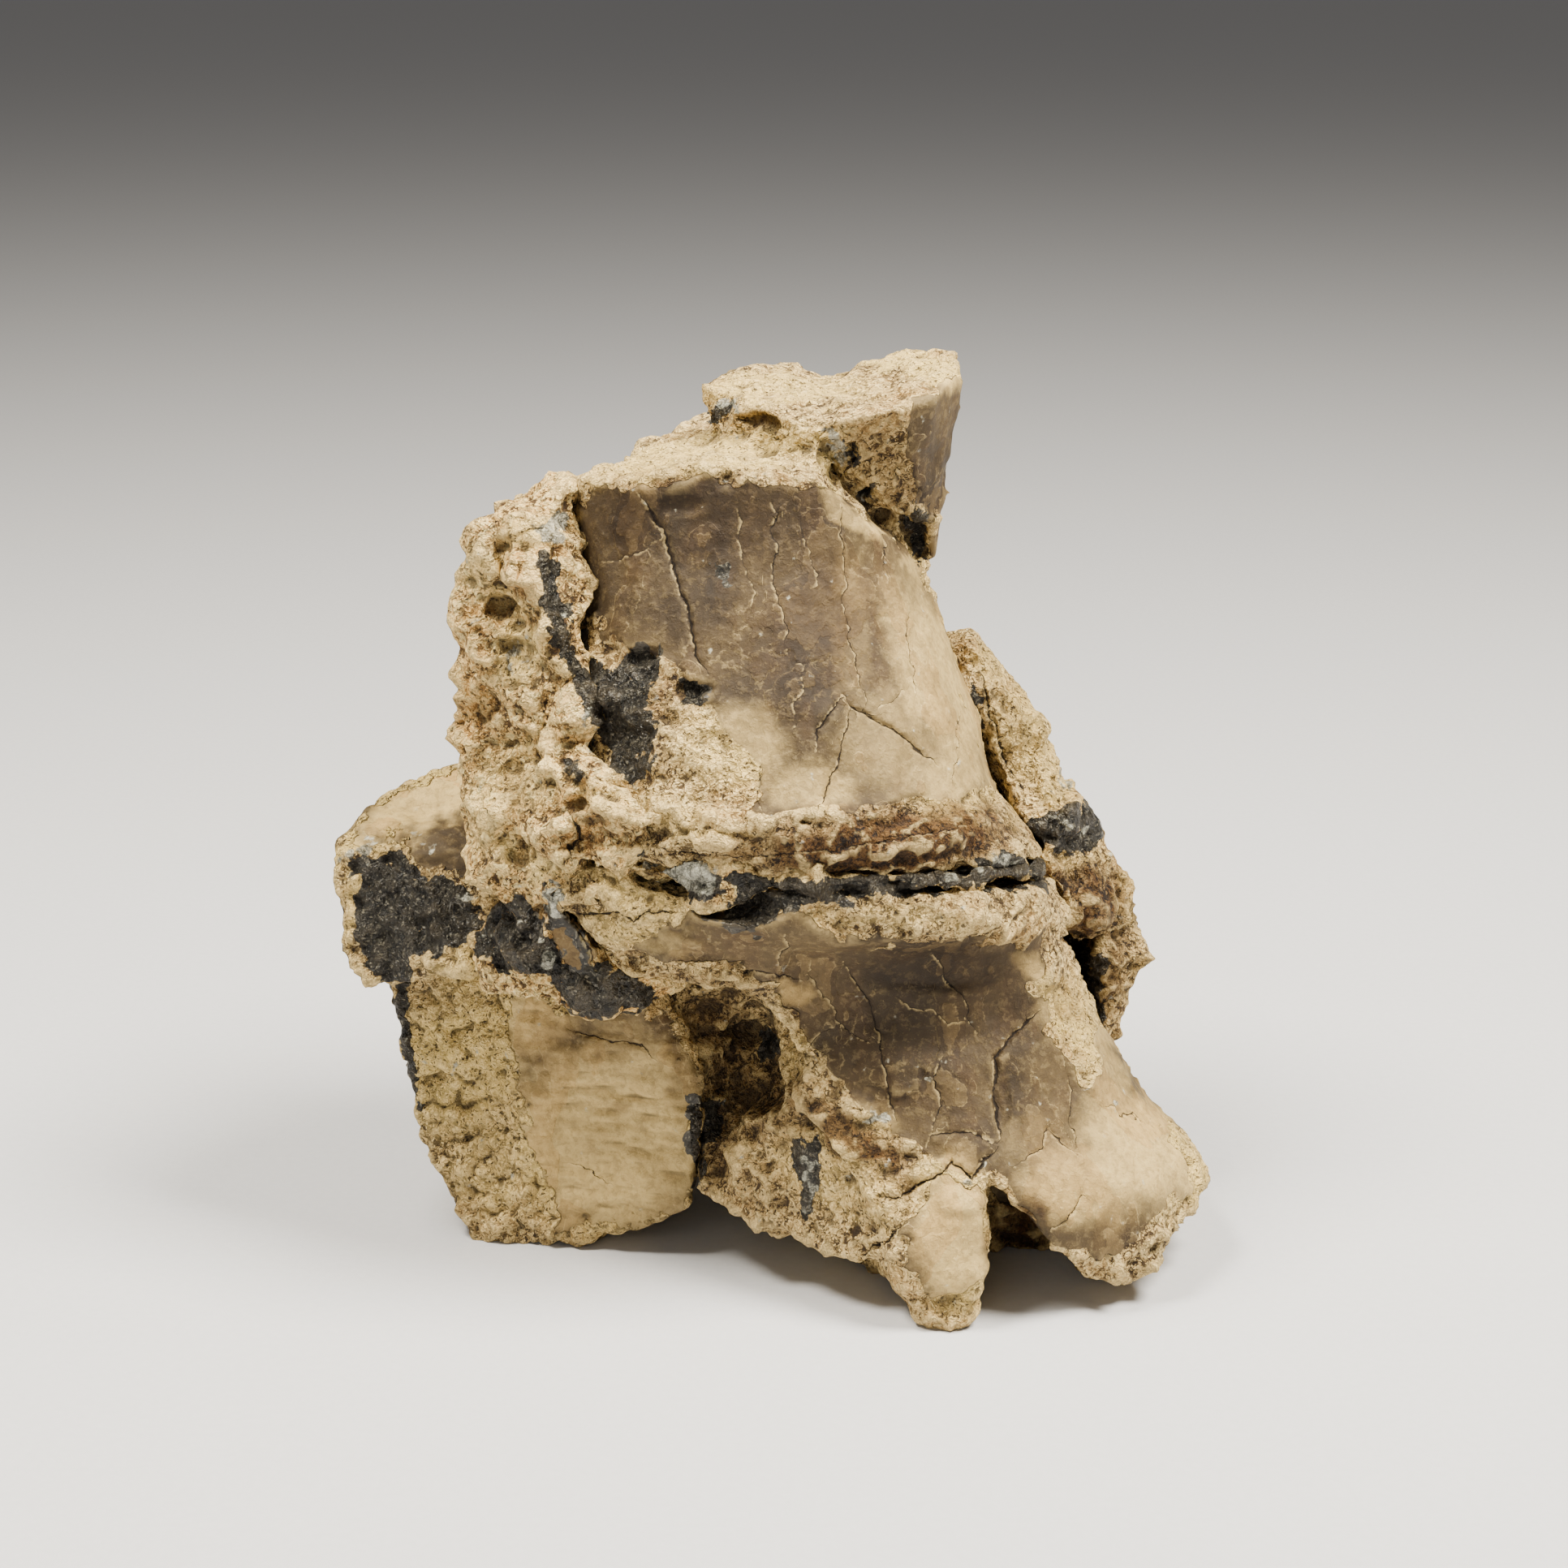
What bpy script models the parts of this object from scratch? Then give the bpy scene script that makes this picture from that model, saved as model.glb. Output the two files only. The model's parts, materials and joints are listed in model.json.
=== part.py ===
"""Ichthyosaur bone fossil: two vertebrae standing end on end, a third bone leaning on their
left, a thin-walled bone on their right, and the rock matrix that binds them.

Units in the tables are millimetres; +X is right, -Y is the show side and +Z is up. The lump
stands on the left bone, on the prong and foot of the lower vertebra, and on a heel behind them.
"""

import math

import bmesh
import bpy
from mathutils import Matrix, Vector, noise

MM = 0.001
GAP = 0.4            # clearance between neighbouring pieces
LEAN = -0.25         # rise of a vertebra's rings per millimetre towards the back
RING_POINTS = 56     # points round one ring of a vertebra's wall
RING_STEPS = 4       # rings made between two listed ones
SQUARENESS = 2.35    # 2 is an ellipse; more is a rounder square
FINE = 0.6           # voxel of the fused shapes
FLOOR_BOX = 400.0    # side of the block below z = 0 that trims the feet flat

# Wall of the upper vertebra, bottom to top: height, centre x, centre y, then the wall's
# distance from that centre to the right, the front, the left and the back.
UPPER_WALL = [
    (47.9, 2.5, -0.5, 29.4, 29.6, 28.0, 25.0),
    (49.3, 2.3, -0.2, 29.2, 31.2, 29.0, 26.0),
    (52.0, 2.0, 0.7, 27.6, 31.8, 29.5, 26.5),
    (54.6, 1.3, 1.8, 26.4, 32.2, 29.5, 26.5),
    (55.6, 1.0, 2.0, 25.6, 31.0, 29.5, 26.2),
    (58.0, 0.5, 2.7, 25.1, 30.2, 29.0, 25.5),
    (66.0, -1.0, 4.5, 24.3, 27.8, 28.0, 23.0),
    (75.0, -3.0, 6.7, 22.8, 24.6, 26.0, 21.0),
    (84.0, -4.5, 9.0, 21.2, 22.8, 24.5, 20.0),
    (91.0, -5.0, 10.7, 20.8, 23.2, 23.0, 20.5),
    (98.0, -5.5, 12.2, 22.5, 25.2, 22.0, 21.5),
    (106.0, -5.5, 13.5, 25.0, 28.0, 22.0, 23.0),
]

# Wall of the lower vertebra, top to bottom. It widens into a foot on the right.
LOWER_WALL = [
    (46.2, 2.5, -0.5, 29.4, 29.8, 27.0, 24.0),
    (45.0, 3.0, -0.5, 30.2, 31.0, 27.5, 25.0),
    (41.6, 3.5, -0.8, 31.2, 31.0, 27.5, 25.0),
    (39.9, 3.6, -1.0, 31.0, 29.5, 27.0, 25.0),
    (38.8, 3.8, -1.2, 30.2, 25.6, 25.0, 24.5),
    (37.0, 4.0, -1.3, 31.8, 23.8, 25.0, 24.5),
    (31.0, 5.0, -2.0, 33.0, 22.0, 24.0, 24.0),
    (24.0, 8.0, -2.5, 33.5, 22.8, 24.0, 24.0),
    (17.0, 12.0, -3.0, 34.0, 25.5, 24.0, 25.0),
    (11.0, 14.5, -3.0, 37.6, 28.5, 25.0, 26.0),
    (6.0, 15.5, -3.0, 37.6, 30.5, 26.0, 27.0),
    (-3.0, 16.0, -3.0, 35.5, 32.0, 26.0, 28.0),
]

# The crown that still stands above the broken top of the upper vertebra.
CROWN_LEFT = [
    (-11.2, 12, 106.0), (-6.8, 16, 107.2), (0.9, 22, 106.6), (5.0, 20, 104.8), (4.2, -7, 103.4),
    (-4.2, 2, 104.2), (-9.4, 8, 104.0), (-9.0, 10, 100.4), (4.4, -9, 96.8), (-7, 6, 96.5),
    (-4, 20, 96.0), (5, 20, 96.0),
]
CROWN_HORN = [
    (3.9, 16, 104.0), (9.5, 20, 107.0), (15.2, 22, 108.4), (21.7, 17, 109.2), (22.0, 6, 108.1),
    (17.6, -6, 106.7), (10.8, -9, 105.0), (4.2, -7, 103.4), (18.0, 3, 84.0), (15.6, 3, 87.5),
    (8.1, 0, 95.4), (17.0, 14, 88.0), (12, 20, 95.0), (4, 16, 95.0),
]

# What is broken away from the upper vertebra's top: all above the two slopes of the break, the
# left back corner, and a hollow that drops to the right between the wall's edge and the horn.
TOP_BREAK = [
    (-8, -40, 99.9), (-8, 60, 99.0), (6, -40, 98.2), (6, 60, 98.2), (50, -40, 97.0), (50, 60, 97.0),
    (-8, -40, 140), (-8, 60, 140), (50, -40, 140), (50, 60, 140),
]
TOP_SLOPE = [
    (-7.9, -40, 99.9), (-7.9, 60, 99.0), (-25, -40, 96.4), (-25, 60, 97.0), (-50, -40, 92.0),
    (-50, 60, 93.0), (-7.9, -40, 140), (-7.9, 60, 140), (-50, -40, 140), (-50, 60, 140),
]
BACK_BREAK = [
    (-26.4, -11, 101), (-9.6, 32, 101), (-5.6, 42, 101), (-33.5, -8, 60), (-16.5, 34, 60),
    (-12.5, 44, 60), (-70, -8, 101), (-70, -8, 60), (-40, 70, 101), (-40, 70, 60),
]
TOP_HOLLOW = [
    (3.5, -14, 98.8), (6.0, -12, 96.9), (8.9, -10, 94.2), (12.9, -6.6, 90.7), (16.9, 0, 84.5),
    (26, -14, 98), (30, 2, 84), (30, 2, 110), (4, -14, 110), (4, 0, 98), (9, 3, 93), (15, 6, 87),
    (4, 2, 110),
]

# The lower vertebra's broken left side: the ridge of its rim, the mass under it and the prong.
RIM_RIDGE = [
    (-25.3, -21.5, 53.4), (-22.4, -23.5, 55.2), (-16.6, -27, 54.0), (-10.9, -28.5, 51.8),
    (-5.1, -29, 49.5), (1.3, -29, 49.0), (-26.9, -21, 50.4), (-26.0, -21, 47.5),
    (-22.2, -23, 43.6), (-17.8, -24.5, 40.4), (-13.0, -25, 39.7), (-8.2, -25.5, 39.0),
    (-1.0, -26, 40.4), (-22, -8, 50), (-18, -8, 39), (1.3, -8, 40), (2, -8, 47),
]
BASE_MASS = [
    (2.4, -22.5, 27.4), (-3.0, -19.5, 19.4), (-10.4, -16.5, 12.6), (-11.6, -15.5, 8.6),
    (-6.0, -18.5, 9.3), (-2.6, -20.5, 8.6), (2.0, -24.5, 6.1), (9.1, -29.5, 6.5),
    (20.0, -30.5, 12.0), (21.4, -29.0, 18.0), (12.9, -27.5, 21.0), (7.1, -25.5, 22.5),
    (-11, 6, 20), (-11, 6, 9), (10, 6, 8), (14, -6, 28), (2, -6, 28),
]
PRONG = [
    (10.4, -29, 7.6), (12.6, -31, 6.0), (14.6, -33, 3.4), (15.4, -34, 1.2), (21.4, -35, -0.5),
    (22.6, -34, 2.2), (24.4, -33, 8.0), (24.3, -31, 13.3), (23.6, -30, 17.0), (20.5, -29, 19.2),
    (14.8, -28.5, 15.5), (9.0, -27.5, 10.2), (12, -20, 8), (15.5, -25, -0.5), (22, -25, -0.5),
    (23, -20, 16),
]
HEEL = [
    (-6, 8, -1), (30, 6, -1), (28, 22, -1), (-2, 22, -1), (-8, 6, 14), (34, 4, 14), (30, 22, 14),
    (-4, 22, 14),
]

# What is missing from the lower vertebra: the front left of its wall, the arch under its
# middle, and the notch between the prong and the foot.
LEFT_SCOOP = [
    (-40, -40, 38.8), (-9, -40, 38.8), (-1.5, -40, 38.2), (1.8, -40, 33.5), (2.8, -40, 29),
    (1.6, -40, 24), (-40, -40, 10), (-40, -9, 40), (-9, -10, 38.8), (-2.0, -12, 37),
    (1.0, -14, 33), (1.6, -14, 29), (-2, -10, 22), (-10, -9, 12), (-40, -6, 10),
]
LOW_SCOOP = [
    (-40, -50, 26), (1.6, -50, 26), (5, -50, 18), (16, -50, 8), (16, -50, -6), (-40, -50, -6),
    (-40, -14, 26), (1.0, -14, 26), (2, -14, 18), (10, -18, 8), (10, -18, -6), (-40, -14, -6),
]
ARCH = [
    (-40, -50, -5), (10, -50, -5), (9.5, -50, 6.0), (2, -50, 5.8), (-2.6, -50, 8.2),
    (-10, -50, 9.0), (-40, -50, 9.0), (-40, 7, -5), (8, 7, -5), (8, 7, 6.0), (2, 7, 6.0),
    (-10, 7, 9), (-40, 7, 9),
]
NOTCH = [
    (23.8, -45, 18.6), (26.6, -45, 13.4), (33.0, -45, 7.0), (37.5, -45, 3.6), (38.5, -45, -6),
    (23.0, -45, -6), (24.4, -45, 8.0), (24.2, -12, 17.5), (29, -12, 10), (36, -12, 3),
    (37, -12, -6), (23, -12, -6),
]
# The slopes that leave the foot standing on its tip alone.
UNDER_FOOT = [
    (42.5, -60, -0.2), (46.5, -60, 1.4), (51.3, -60, 4.6), (52.6, -60, 8.0), (70, -60, 10),
    (70, -60, -8), (42, -60, -8), (42.5, 40, 3), (52, 40, 9), (70, 40, 12), (70, 40, -8),
    (40, 40, -8), (34, 0, 0.2), (34, 40, 0.2), (38, -12, -0.2), (34, 0, -8),
]
UNDER_TOE = [
    (25.2, -18.5, 0), (70, -18.5, 0), (25.2, -50, 12.8), (70, -50, 12.8), (25.2, -18.5, -8),
    (70, -18.5, -8), (25.2, -50, -8), (70, -50, -8),
]
RIGHT_CAVITY = [
    (34.4, -20, 39.4), (38.0, -20, 40.5), (40.4, -20, 36), (40.3, -20, 29.4), (39.1, -20, 30.4),
    (36.8, -20, 34.8), (34.4, 12, 39.4), (38.0, 12, 40.5), (40.4, 12, 36), (40.3, 12, 29.4),
    (39.1, 12, 30.4), (36.8, 12, 34.8),
]

# The bone on the left: a wall that stands on the ground, and the thick rim that overhangs it.
LEFT_WALL = [
    (-49.0, -4, 33.5), (-47.2, -5, 20.6), (-44.4, -6, 10.1), (-41.4, -7, 2.8), (-38.4, -8, -0.8),
    (-27.0, -10, -0.6), (-19.8, -12, 2.6), (-11.6, -14, 7.4), (-10.3, -14, 16.6),
    (-10.0, -13, 23.7), (-12.5, -12, 30.0), (-20, -12, 40), (-42, 20, 34), (-38, 22, 12),
    (-35, 22, -1), (-14, 24, -1), (-8, 22, 32),
]
LEFT_RIM = [
    (-55.4, -6, 51.2), (-54.6, -8, 38.0), (-51.2, -9, 33.8), (-45, -10.5, 35.4), (-51.9, -1, 54.6),
    (-47.3, 4, 56.6), (-40.4, 8, 58.3), (-36, -13, 37.5), (-36, -9, 51), (-28, -12, 38.5),
    (-50, 16, 38), (-46, 20, 52), (-34, 20, 56), (-28, 0, 50), (-26, 18, 50),
]

# The bone on the right, three broken lumps and a thin wall that runs down behind the cavity.
RIGHT_TOP = [
    (22.4, 6, 74.0), (24.0, 4, 73.7), (28.6, 4, 67.2), (32.8, 6, 61.6), (35.2, 8, 56.4),
    (36.0, 8, 52.7), (28.6, 2, 53.4), (24.9, 2, 63.3), (22.0, 4, 69.5), (24, 18, 73),
    (34, 22, 56), (20, 24, 56), (16, 20, 70),
]
RIGHT_MIDDLE = [
    (28.5, 0, 54.6), (36.4, 4, 54.8), (39.2, 6, 52.6), (41.3, 6, 48.2), (41.8, 6, 46.0),
    (32.3, -4, 49.8), (41.8, 4, 42.9), (41.0, 4, 38.5), (38.6, 2, 36.4), (34.6, -2, 38.0),
    (30.7, -5, 47.0), (28, 2, 38), (36, 18, 50), (37, 18, 40), (26, 20, 47), (28, 8, 64),
    (24, 14, 64),
]
RIGHT_SHELL = [
    (42.2, 6, 43.9), (44.9, 9, 42.8), (45.1, 10, 39.1), (42.8, 8, 35.5), (43.4, 9, 30.0),
    (43.2, 7, 20.4), (40.8, 5, 21.4), (40.2, 5, 30.0), (40.2, 5, 38.0), (41, 16, 44),
    (40, 20, 24), (36, 22, 44), (38, 18, 26), (34, 12, 52),
]

RIGHT_BACK = [
    (30, 14, 44), (41.5, 13, 42), (42, 13, 24), (33, 13, 22), (28, 24, 44), (38, 23, 42),
    (38, 22, 24), (30, 24, 22), (26, 18, 56),
]

# The rock matrix: a crumbly flank beside the upper vertebra, a lower lobe, the black lumps
# that sag over the left bone, and the disc that fills the joint between the vertebrae.
FLANK = [
    (-25.6, -4.5, 96.2), (-28.0, -8.5, 95.2), (-31.6, -8.5, 93.8), (-35.3, -7.5, 92.4),
    (-37.6, -7.5, 90.2), (-38.9, -7.5, 86.4), (-38.5, -8.5, 80.5), (-37.9, -9.5, 71.8),
    (-38.6, -10.5, 62.0), (-31.2, -11.0, 92.6), (-30.2, -11.8, 87.0), (-28.0, -12.0, 80.7),
    (-26.0, -13.2, 73.3), (-23.8, -15.8, 68.7), (-21.4, -19.5, 64.6), (-25, 4, 91),
    (-22, -1, 76), (-18, -6, 64), (-34, 10, 86), (-26, 20, 91), (-34, 18, 50), (-20, 24, 50),
]
LOWER_LOBE = [
    (-39.0, -10.5, 63.0), (-38.8, -10.5, 56.9), (-37.3, -13, 51.4), (-35.3, -17.5, 48.9),
    (-31.6, -19.5, 45.0), (-27.2, -19.5, 40.9), (-24.2, -20, 39.6), (-31.2, -19.8, 53.6),
    (-25.4, -22.8, 60.5), (-19.3, -26.2, 61.6), (-13.6, -28.2, 61.3), (-13.6, -28, 58.0),
    (-20.0, -25, 56.4), (-26.0, -16.5, 68), (-32, 16, 46), (-20, 20, 60), (-18, 14, 38),
    (-14, 0, 38),
]
BLACK_LUMPS = [
    ((-31.8, -13.0, 40.2), (5.8, 5.0, 6.2)),
    ((-20.0, -15.5, 37.8), (8.0, 5.5, 4.2)),
    ((-26.0, -15.0, 41.5), (6.0, 5.0, 6.0)),
]
JOINT_DISC = [
    (44.0, 2.5, -0.5, 29.3, 29.9, 27.6, 23.0),
    (51.5, 2.5, -0.5, 29.3, 29.9, 27.6, 23.0),
]
# The pocket in the joint that crystals fill.
POCKET = ((-9.2, -30.5, 53.6), (7.6, 4.6, 3.4))

# Softly bounded patches of coarse relief: centre, reach and depth.
UPPER_ROUGH = [
    ((0, -30, 58), 16, 0.7), ((-20, -20, 66), 14, 0.9), ((25, -12, 52), 12, 0.6),
    ((0, 8, 100), 26, 0.6), ((18, 2, 94), 12, 0.7),
]
LOWER_ROUGH = [
    ((12, -28, 46), 14, 0.4), ((-12, -24, 44), 16, 1.0), ((-4, -16, 20), 16, 1.2),
    ((10, -28, 8), 12, 0.8), ((45, -14, 4), 10, 0.5),
]
LEFT_ROUGH = [((-42, -6, 20), 15, 0.8), ((-52, -5, 42), 12, 0.8), ((-35, -8, 2), 12, 0.6)]
RIGHT_ROUGH = [((32, 2, 56), 22, 0.9), ((38, 4, 42), 14, 0.9)]
MATRIX_ROUGH = [((-32, -12, 78), 26, 1.2), ((-26, -18, 58), 20, 1.3)]

COLOURS = {
    "upper_vertebra": (0.36, 0.28, 0.19),
    "lower_vertebra": (0.33, 0.26, 0.18),
    "left_bone": (0.42, 0.34, 0.23),
    "right_bone": (0.40, 0.31, 0.20),
    "rock_matrix": (0.40, 0.29, 0.17),
}


def clear_scene():
    for obj in list(bpy.data.objects):
        bpy.data.objects.remove(obj, do_unlink=True)


def object_from(name, bm):
    """A mesh object made from a bmesh in millimetres."""
    bmesh.ops.recalc_face_normals(bm, faces=bm.faces)
    bm.transform(Matrix.Scale(MM, 4))
    mesh = bpy.data.meshes.new(name)
    bm.to_mesh(mesh)
    bm.free()
    obj = bpy.data.objects.new(name, mesh)
    bpy.context.scene.collection.objects.link(obj)
    return obj


def hull(name, corners):
    """The convex block of stone that has these corners."""
    bm = bmesh.new()
    for corner in corners:
        bm.verts.new(corner)
    made = bmesh.ops.convex_hull(bm, input=bm.verts)
    inside = [v for v in made["geom_interior"] if isinstance(v, bmesh.types.BMVert)]
    bmesh.ops.delete(bm, geom=inside, context="VERTS")
    return object_from(name, bm)


def lump(name, centre, radii):
    """A rounded lump with the given half-widths."""
    bm = bmesh.new()
    bmesh.ops.create_icosphere(bm, subdivisions=3, radius=1.0)
    bm.transform(Matrix.Translation(centre) @ Matrix.Diagonal((*radii, 1.0)))
    return object_from(name, bm)


def between(before, start, end, after, t):
    """Catmull-Rom value between start and end."""
    return 0.5 * (
        2 * start + (end - before) * t
        + (2 * before - 5 * start + 4 * end - after) * t * t
        + (3 * start - before - 3 * end + after) * t ** 3
    )


def smooth_stations(stations):
    """The listed rings with smoothly curved ones between them."""
    last = len(stations) - 1
    rows = []
    for i in range(last):
        near = [stations[max(i - 1, 0)], stations[i], stations[i + 1], stations[min(i + 2, last)]]
        for step in range(RING_STEPS):
            rows.append([between(*values, step / RING_STEPS) for values in zip(*near)])
    rows.append(list(stations[last]))
    return rows


def ring_point(row, angle):
    """One point of a ring: a squarish ellipse with its own reach in each of four directions."""
    height, centre_x, centre_y, right, front, left, back = row
    across, along = math.cos(angle), math.sin(angle)
    power = 2 / SQUARENESS
    x = math.copysign(abs(across) ** power, across) * (right if across > 0 else left)
    y = math.copysign(abs(along) ** power, along) * (back if along > 0 else front)
    return Vector((centre_x + x, centre_y + y, height + LEAN * y))


def ringed_wall(name, stations):
    """A vertebra's body, skinned over its rings and closed at both ends."""
    bm = bmesh.new()
    loops = []
    for row in smooth_stations(stations):
        angles = [2 * math.pi * k / RING_POINTS for k in range(RING_POINTS)]
        loops.append([bm.verts.new(ring_point(row, angle)) for angle in angles])
    for below, above in zip(loops, loops[1:]):
        for k in range(RING_POINTS):
            after = (k + 1) % RING_POINTS
            bm.faces.new((below[k], below[after], above[after], above[k]))
    bm.faces.new(loops[0])
    bm.faces.new(loops[-1])
    return object_from(name, bm)


def settle(obj):
    """Makes the object's modifiers part of its mesh."""
    graph = bpy.context.evaluated_depsgraph_get()
    graph.update()
    mesh = bpy.data.meshes.new_from_object(obj.evaluated_get(graph))
    obj.modifiers.clear()
    obj.data = mesh
    return obj


def fuse(name, pieces):
    """Overlapping closed shapes made one, in voxels of the fine size."""
    bm = bmesh.new()
    for piece in pieces:
        bm.from_mesh(piece.data)
        bpy.data.objects.remove(piece)
    mesh = bpy.data.meshes.new(name)
    bm.to_mesh(mesh)
    bm.free()
    obj = bpy.data.objects.new(name, mesh)
    bpy.context.scene.collection.objects.link(obj)
    revoxel(obj)
    return settle(obj)


def revoxel(obj):
    remesh = obj.modifiers.new("voxels", "REMESH")
    remesh.mode = "VOXEL"
    remesh.voxel_size = FINE * MM


def carve(obj, *cutters):
    """Cuts each cutter out of the object and removes it."""
    for cutter in cutters:
        cut = obj.modifiers.new("cut", "BOOLEAN")
        cut.operation = "DIFFERENCE"
        cut.object = cutter
        settle(obj)
        bpy.data.objects.remove(cutter)
    return obj


def weather(obj, patches, rounds=2, everywhere=0.2):
    """Rounds the edges, then roughens the surface, most of all in the patches."""
    revoxel(obj)
    worn = obj.modifiers.new("worn", "SMOOTH")
    worn.factor = 0.5
    worn.iterations = rounds
    settle(obj)
    mesh = obj.data
    moves = []
    for vertex in mesh.vertices:
        point = vertex.co / MM
        depth = everywhere
        for centre, reach, extra in patches:
            depth += extra * max(0.0, 1 - (point - Vector(centre)).length / reach)
        broad = noise.fractal(point * 0.16, 0.9, 2.1, 3)
        sharp = noise.cell(point * 0.31) - 0.5
        moves.append(vertex.normal * depth * (broad + 0.5 * sharp) * MM)
    for vertex, move in zip(mesh.vertices, moves):
        vertex.co += move
    return obj


def thin_out(obj, triangles):
    """Reduces the mesh to about this many triangles."""
    count = sum(len(face.vertices) - 2 for face in obj.data.polygons)
    fewer = obj.modifiers.new("fewer", "DECIMATE")
    fewer.ratio = triangles / count
    fewer.use_collapse_triangulate = True
    return settle(obj)


def swollen(obj):
    """A simpler copy grown by the gap, to cut its neighbours with."""
    copy = obj.copy()
    copy.data = obj.data.copy()
    bpy.context.scene.collection.objects.link(copy)
    thin_out(copy, 0.6 * len(obj.data.polygons))
    grow = copy.modifiers.new("grow", "DISPLACE")
    grow.mid_level = 0.0
    grow.strength = GAP * MM
    return settle(copy)


def keep_largest(obj):
    """Drops the crumbs that a cut leaves beside the main body."""
    bm = bmesh.new()
    bm.from_mesh(obj.data)
    bm.verts.ensure_lookup_table()
    seen, bodies = set(), []
    for start in bm.verts:
        if start.index in seen:
            continue
        body, front = [], [start]
        seen.add(start.index)
        while front:
            vertex = front.pop()
            body.append(vertex)
            for edge in vertex.link_edges:
                other = edge.other_vert(vertex)
                if other.index not in seen:
                    seen.add(other.index)
                    front.append(other)
        bodies.append(body)
    bodies.sort(key=len)
    for body in bodies[:-1]:
        bmesh.ops.delete(bm, geom=body, context="VERTS")
    bm.to_mesh(obj.data)
    bm.free()
    return obj


def trim_feet(obj):
    """Cuts the object flat at the ground."""
    half = FLOOR_BOX / 2
    corners = [(x, y, z) for x in (-half, half) for y in (-half, half) for z in (-half, 0)]
    return carve(obj, hull("ground", corners))


def upper_vertebra():
    body = ringed_wall("upper_vertebra", UPPER_WALL)
    carve(body, hull("break", TOP_BREAK), hull("slope", TOP_SLOPE), hull("back", BACK_BREAK))
    carve(body, hull("hollow", TOP_HOLLOW), lump("pocket", *POCKET))
    body = fuse("upper_vertebra", [body, hull("left", CROWN_LEFT), hull("horn", CROWN_HORN)])
    weather(body, UPPER_ROUGH)
    return thin_out(body, 2100)


def lower_vertebra():
    wall = ringed_wall("lower_vertebra", LOWER_WALL)
    carve(wall, hull("scoop", LEFT_SCOOP), hull("low", LOW_SCOOP), hull("cavity", RIGHT_CAVITY))
    extra = [("ridge", RIM_RIDGE), ("mass", BASE_MASS)]
    body = fuse("lower_vertebra", [wall] + [hull(*piece) for piece in extra])
    carve(body, hull("arch", ARCH), hull("notch", NOTCH), hull("under", UNDER_FOOT))
    carve(body, hull("toe", UNDER_TOE), lump("pocket", *POCKET))
    body = fuse("lower_vertebra", [body, hull("prong", PRONG), hull("heel", HEEL)])
    weather(body, LOWER_ROUGH)
    return trim_feet(thin_out(body, 2300))


def left_bone():
    body = fuse("left_bone", [hull("wall", LEFT_WALL), hull("rim", LEFT_RIM)])
    weather(body, LEFT_ROUGH)
    return trim_feet(thin_out(body, 900))


def right_bone():
    pieces = [("top", RIGHT_TOP), ("middle", RIGHT_MIDDLE), ("shell", RIGHT_SHELL)]
    pieces += [("back", RIGHT_BACK)]
    body = fuse("right_bone", [hull(*piece) for piece in pieces])
    weather(body, RIGHT_ROUGH)
    return thin_out(body, 900)


def rock_matrix():
    pieces = [hull("flank", FLANK), hull("lobe", LOWER_LOBE), ringed_wall("disc", JOINT_DISC)]
    pieces += [lump("lump", centre, radii) for centre, radii in BLACK_LUMPS]
    body = fuse("rock_matrix", pieces)
    weather(body, MATRIX_ROUGH)
    return thin_out(body, 1600)


def part_from(obj, *neighbours):
    """Cuts the neighbours, grown by the gap, out of the object."""
    carve(obj, *[swollen(neighbour) for neighbour in neighbours])
    return keep_largest(obj)


def colour(obj):
    material = bpy.data.materials.new(obj.name)
    material.use_nodes = True
    shader = material.node_tree.nodes["Principled BSDF"]
    shader.inputs["Base Color"].default_value = (*COLOURS[obj.name], 1.0)
    shader.inputs["Roughness"].default_value = 0.8
    obj.data.materials.clear()
    obj.data.materials.append(material)
    obj.data.shade_smooth()
    obj.data.set_sharp_from_angle(angle=math.radians(40))


def stand_on_origin(nodes):
    """Hangs the nodes from an empty that puts the middle of the footprint at the origin."""
    corners = [vertex.co for obj in nodes for vertex in obj.data.vertices]
    middle = [(min(c[i] for c in corners) + max(c[i] for c in corners)) / 2 for i in (0, 1)]
    fossil = bpy.data.objects.new("fossil", None)
    bpy.context.scene.collection.objects.link(fossil)
    fossil.location = (-middle[0], -middle[1], 0)
    for obj in nodes:
        obj.parent = fossil
    print("middle of the footprint, mm:", [round(value / MM, 2) for value in middle])


def main():
    clear_scene()
    lower = lower_vertebra()
    upper = part_from(upper_vertebra(), lower)
    left = part_from(left_bone(), lower)
    right = part_from(right_bone(), upper, lower)
    matrix = part_from(rock_matrix(), upper, lower, left, right)
    nodes = [upper, lower, left, right, matrix]
    for obj in nodes:
        colour(obj)
    stand_on_origin(nodes)


main()
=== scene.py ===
"""Ichthyosaur bone fossil: the weathered surfaces of its bones and rock, in a plain studio.

Outlines, cracks, stains, painted shade and painted light are placed on a front drawing of the
fossil. The drawing plate is PLATE tenths of a millimetre square, counted right and down from its
upper left corner, and is seen from the front, RISE degrees above the floor.
"""

import json
import math

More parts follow.
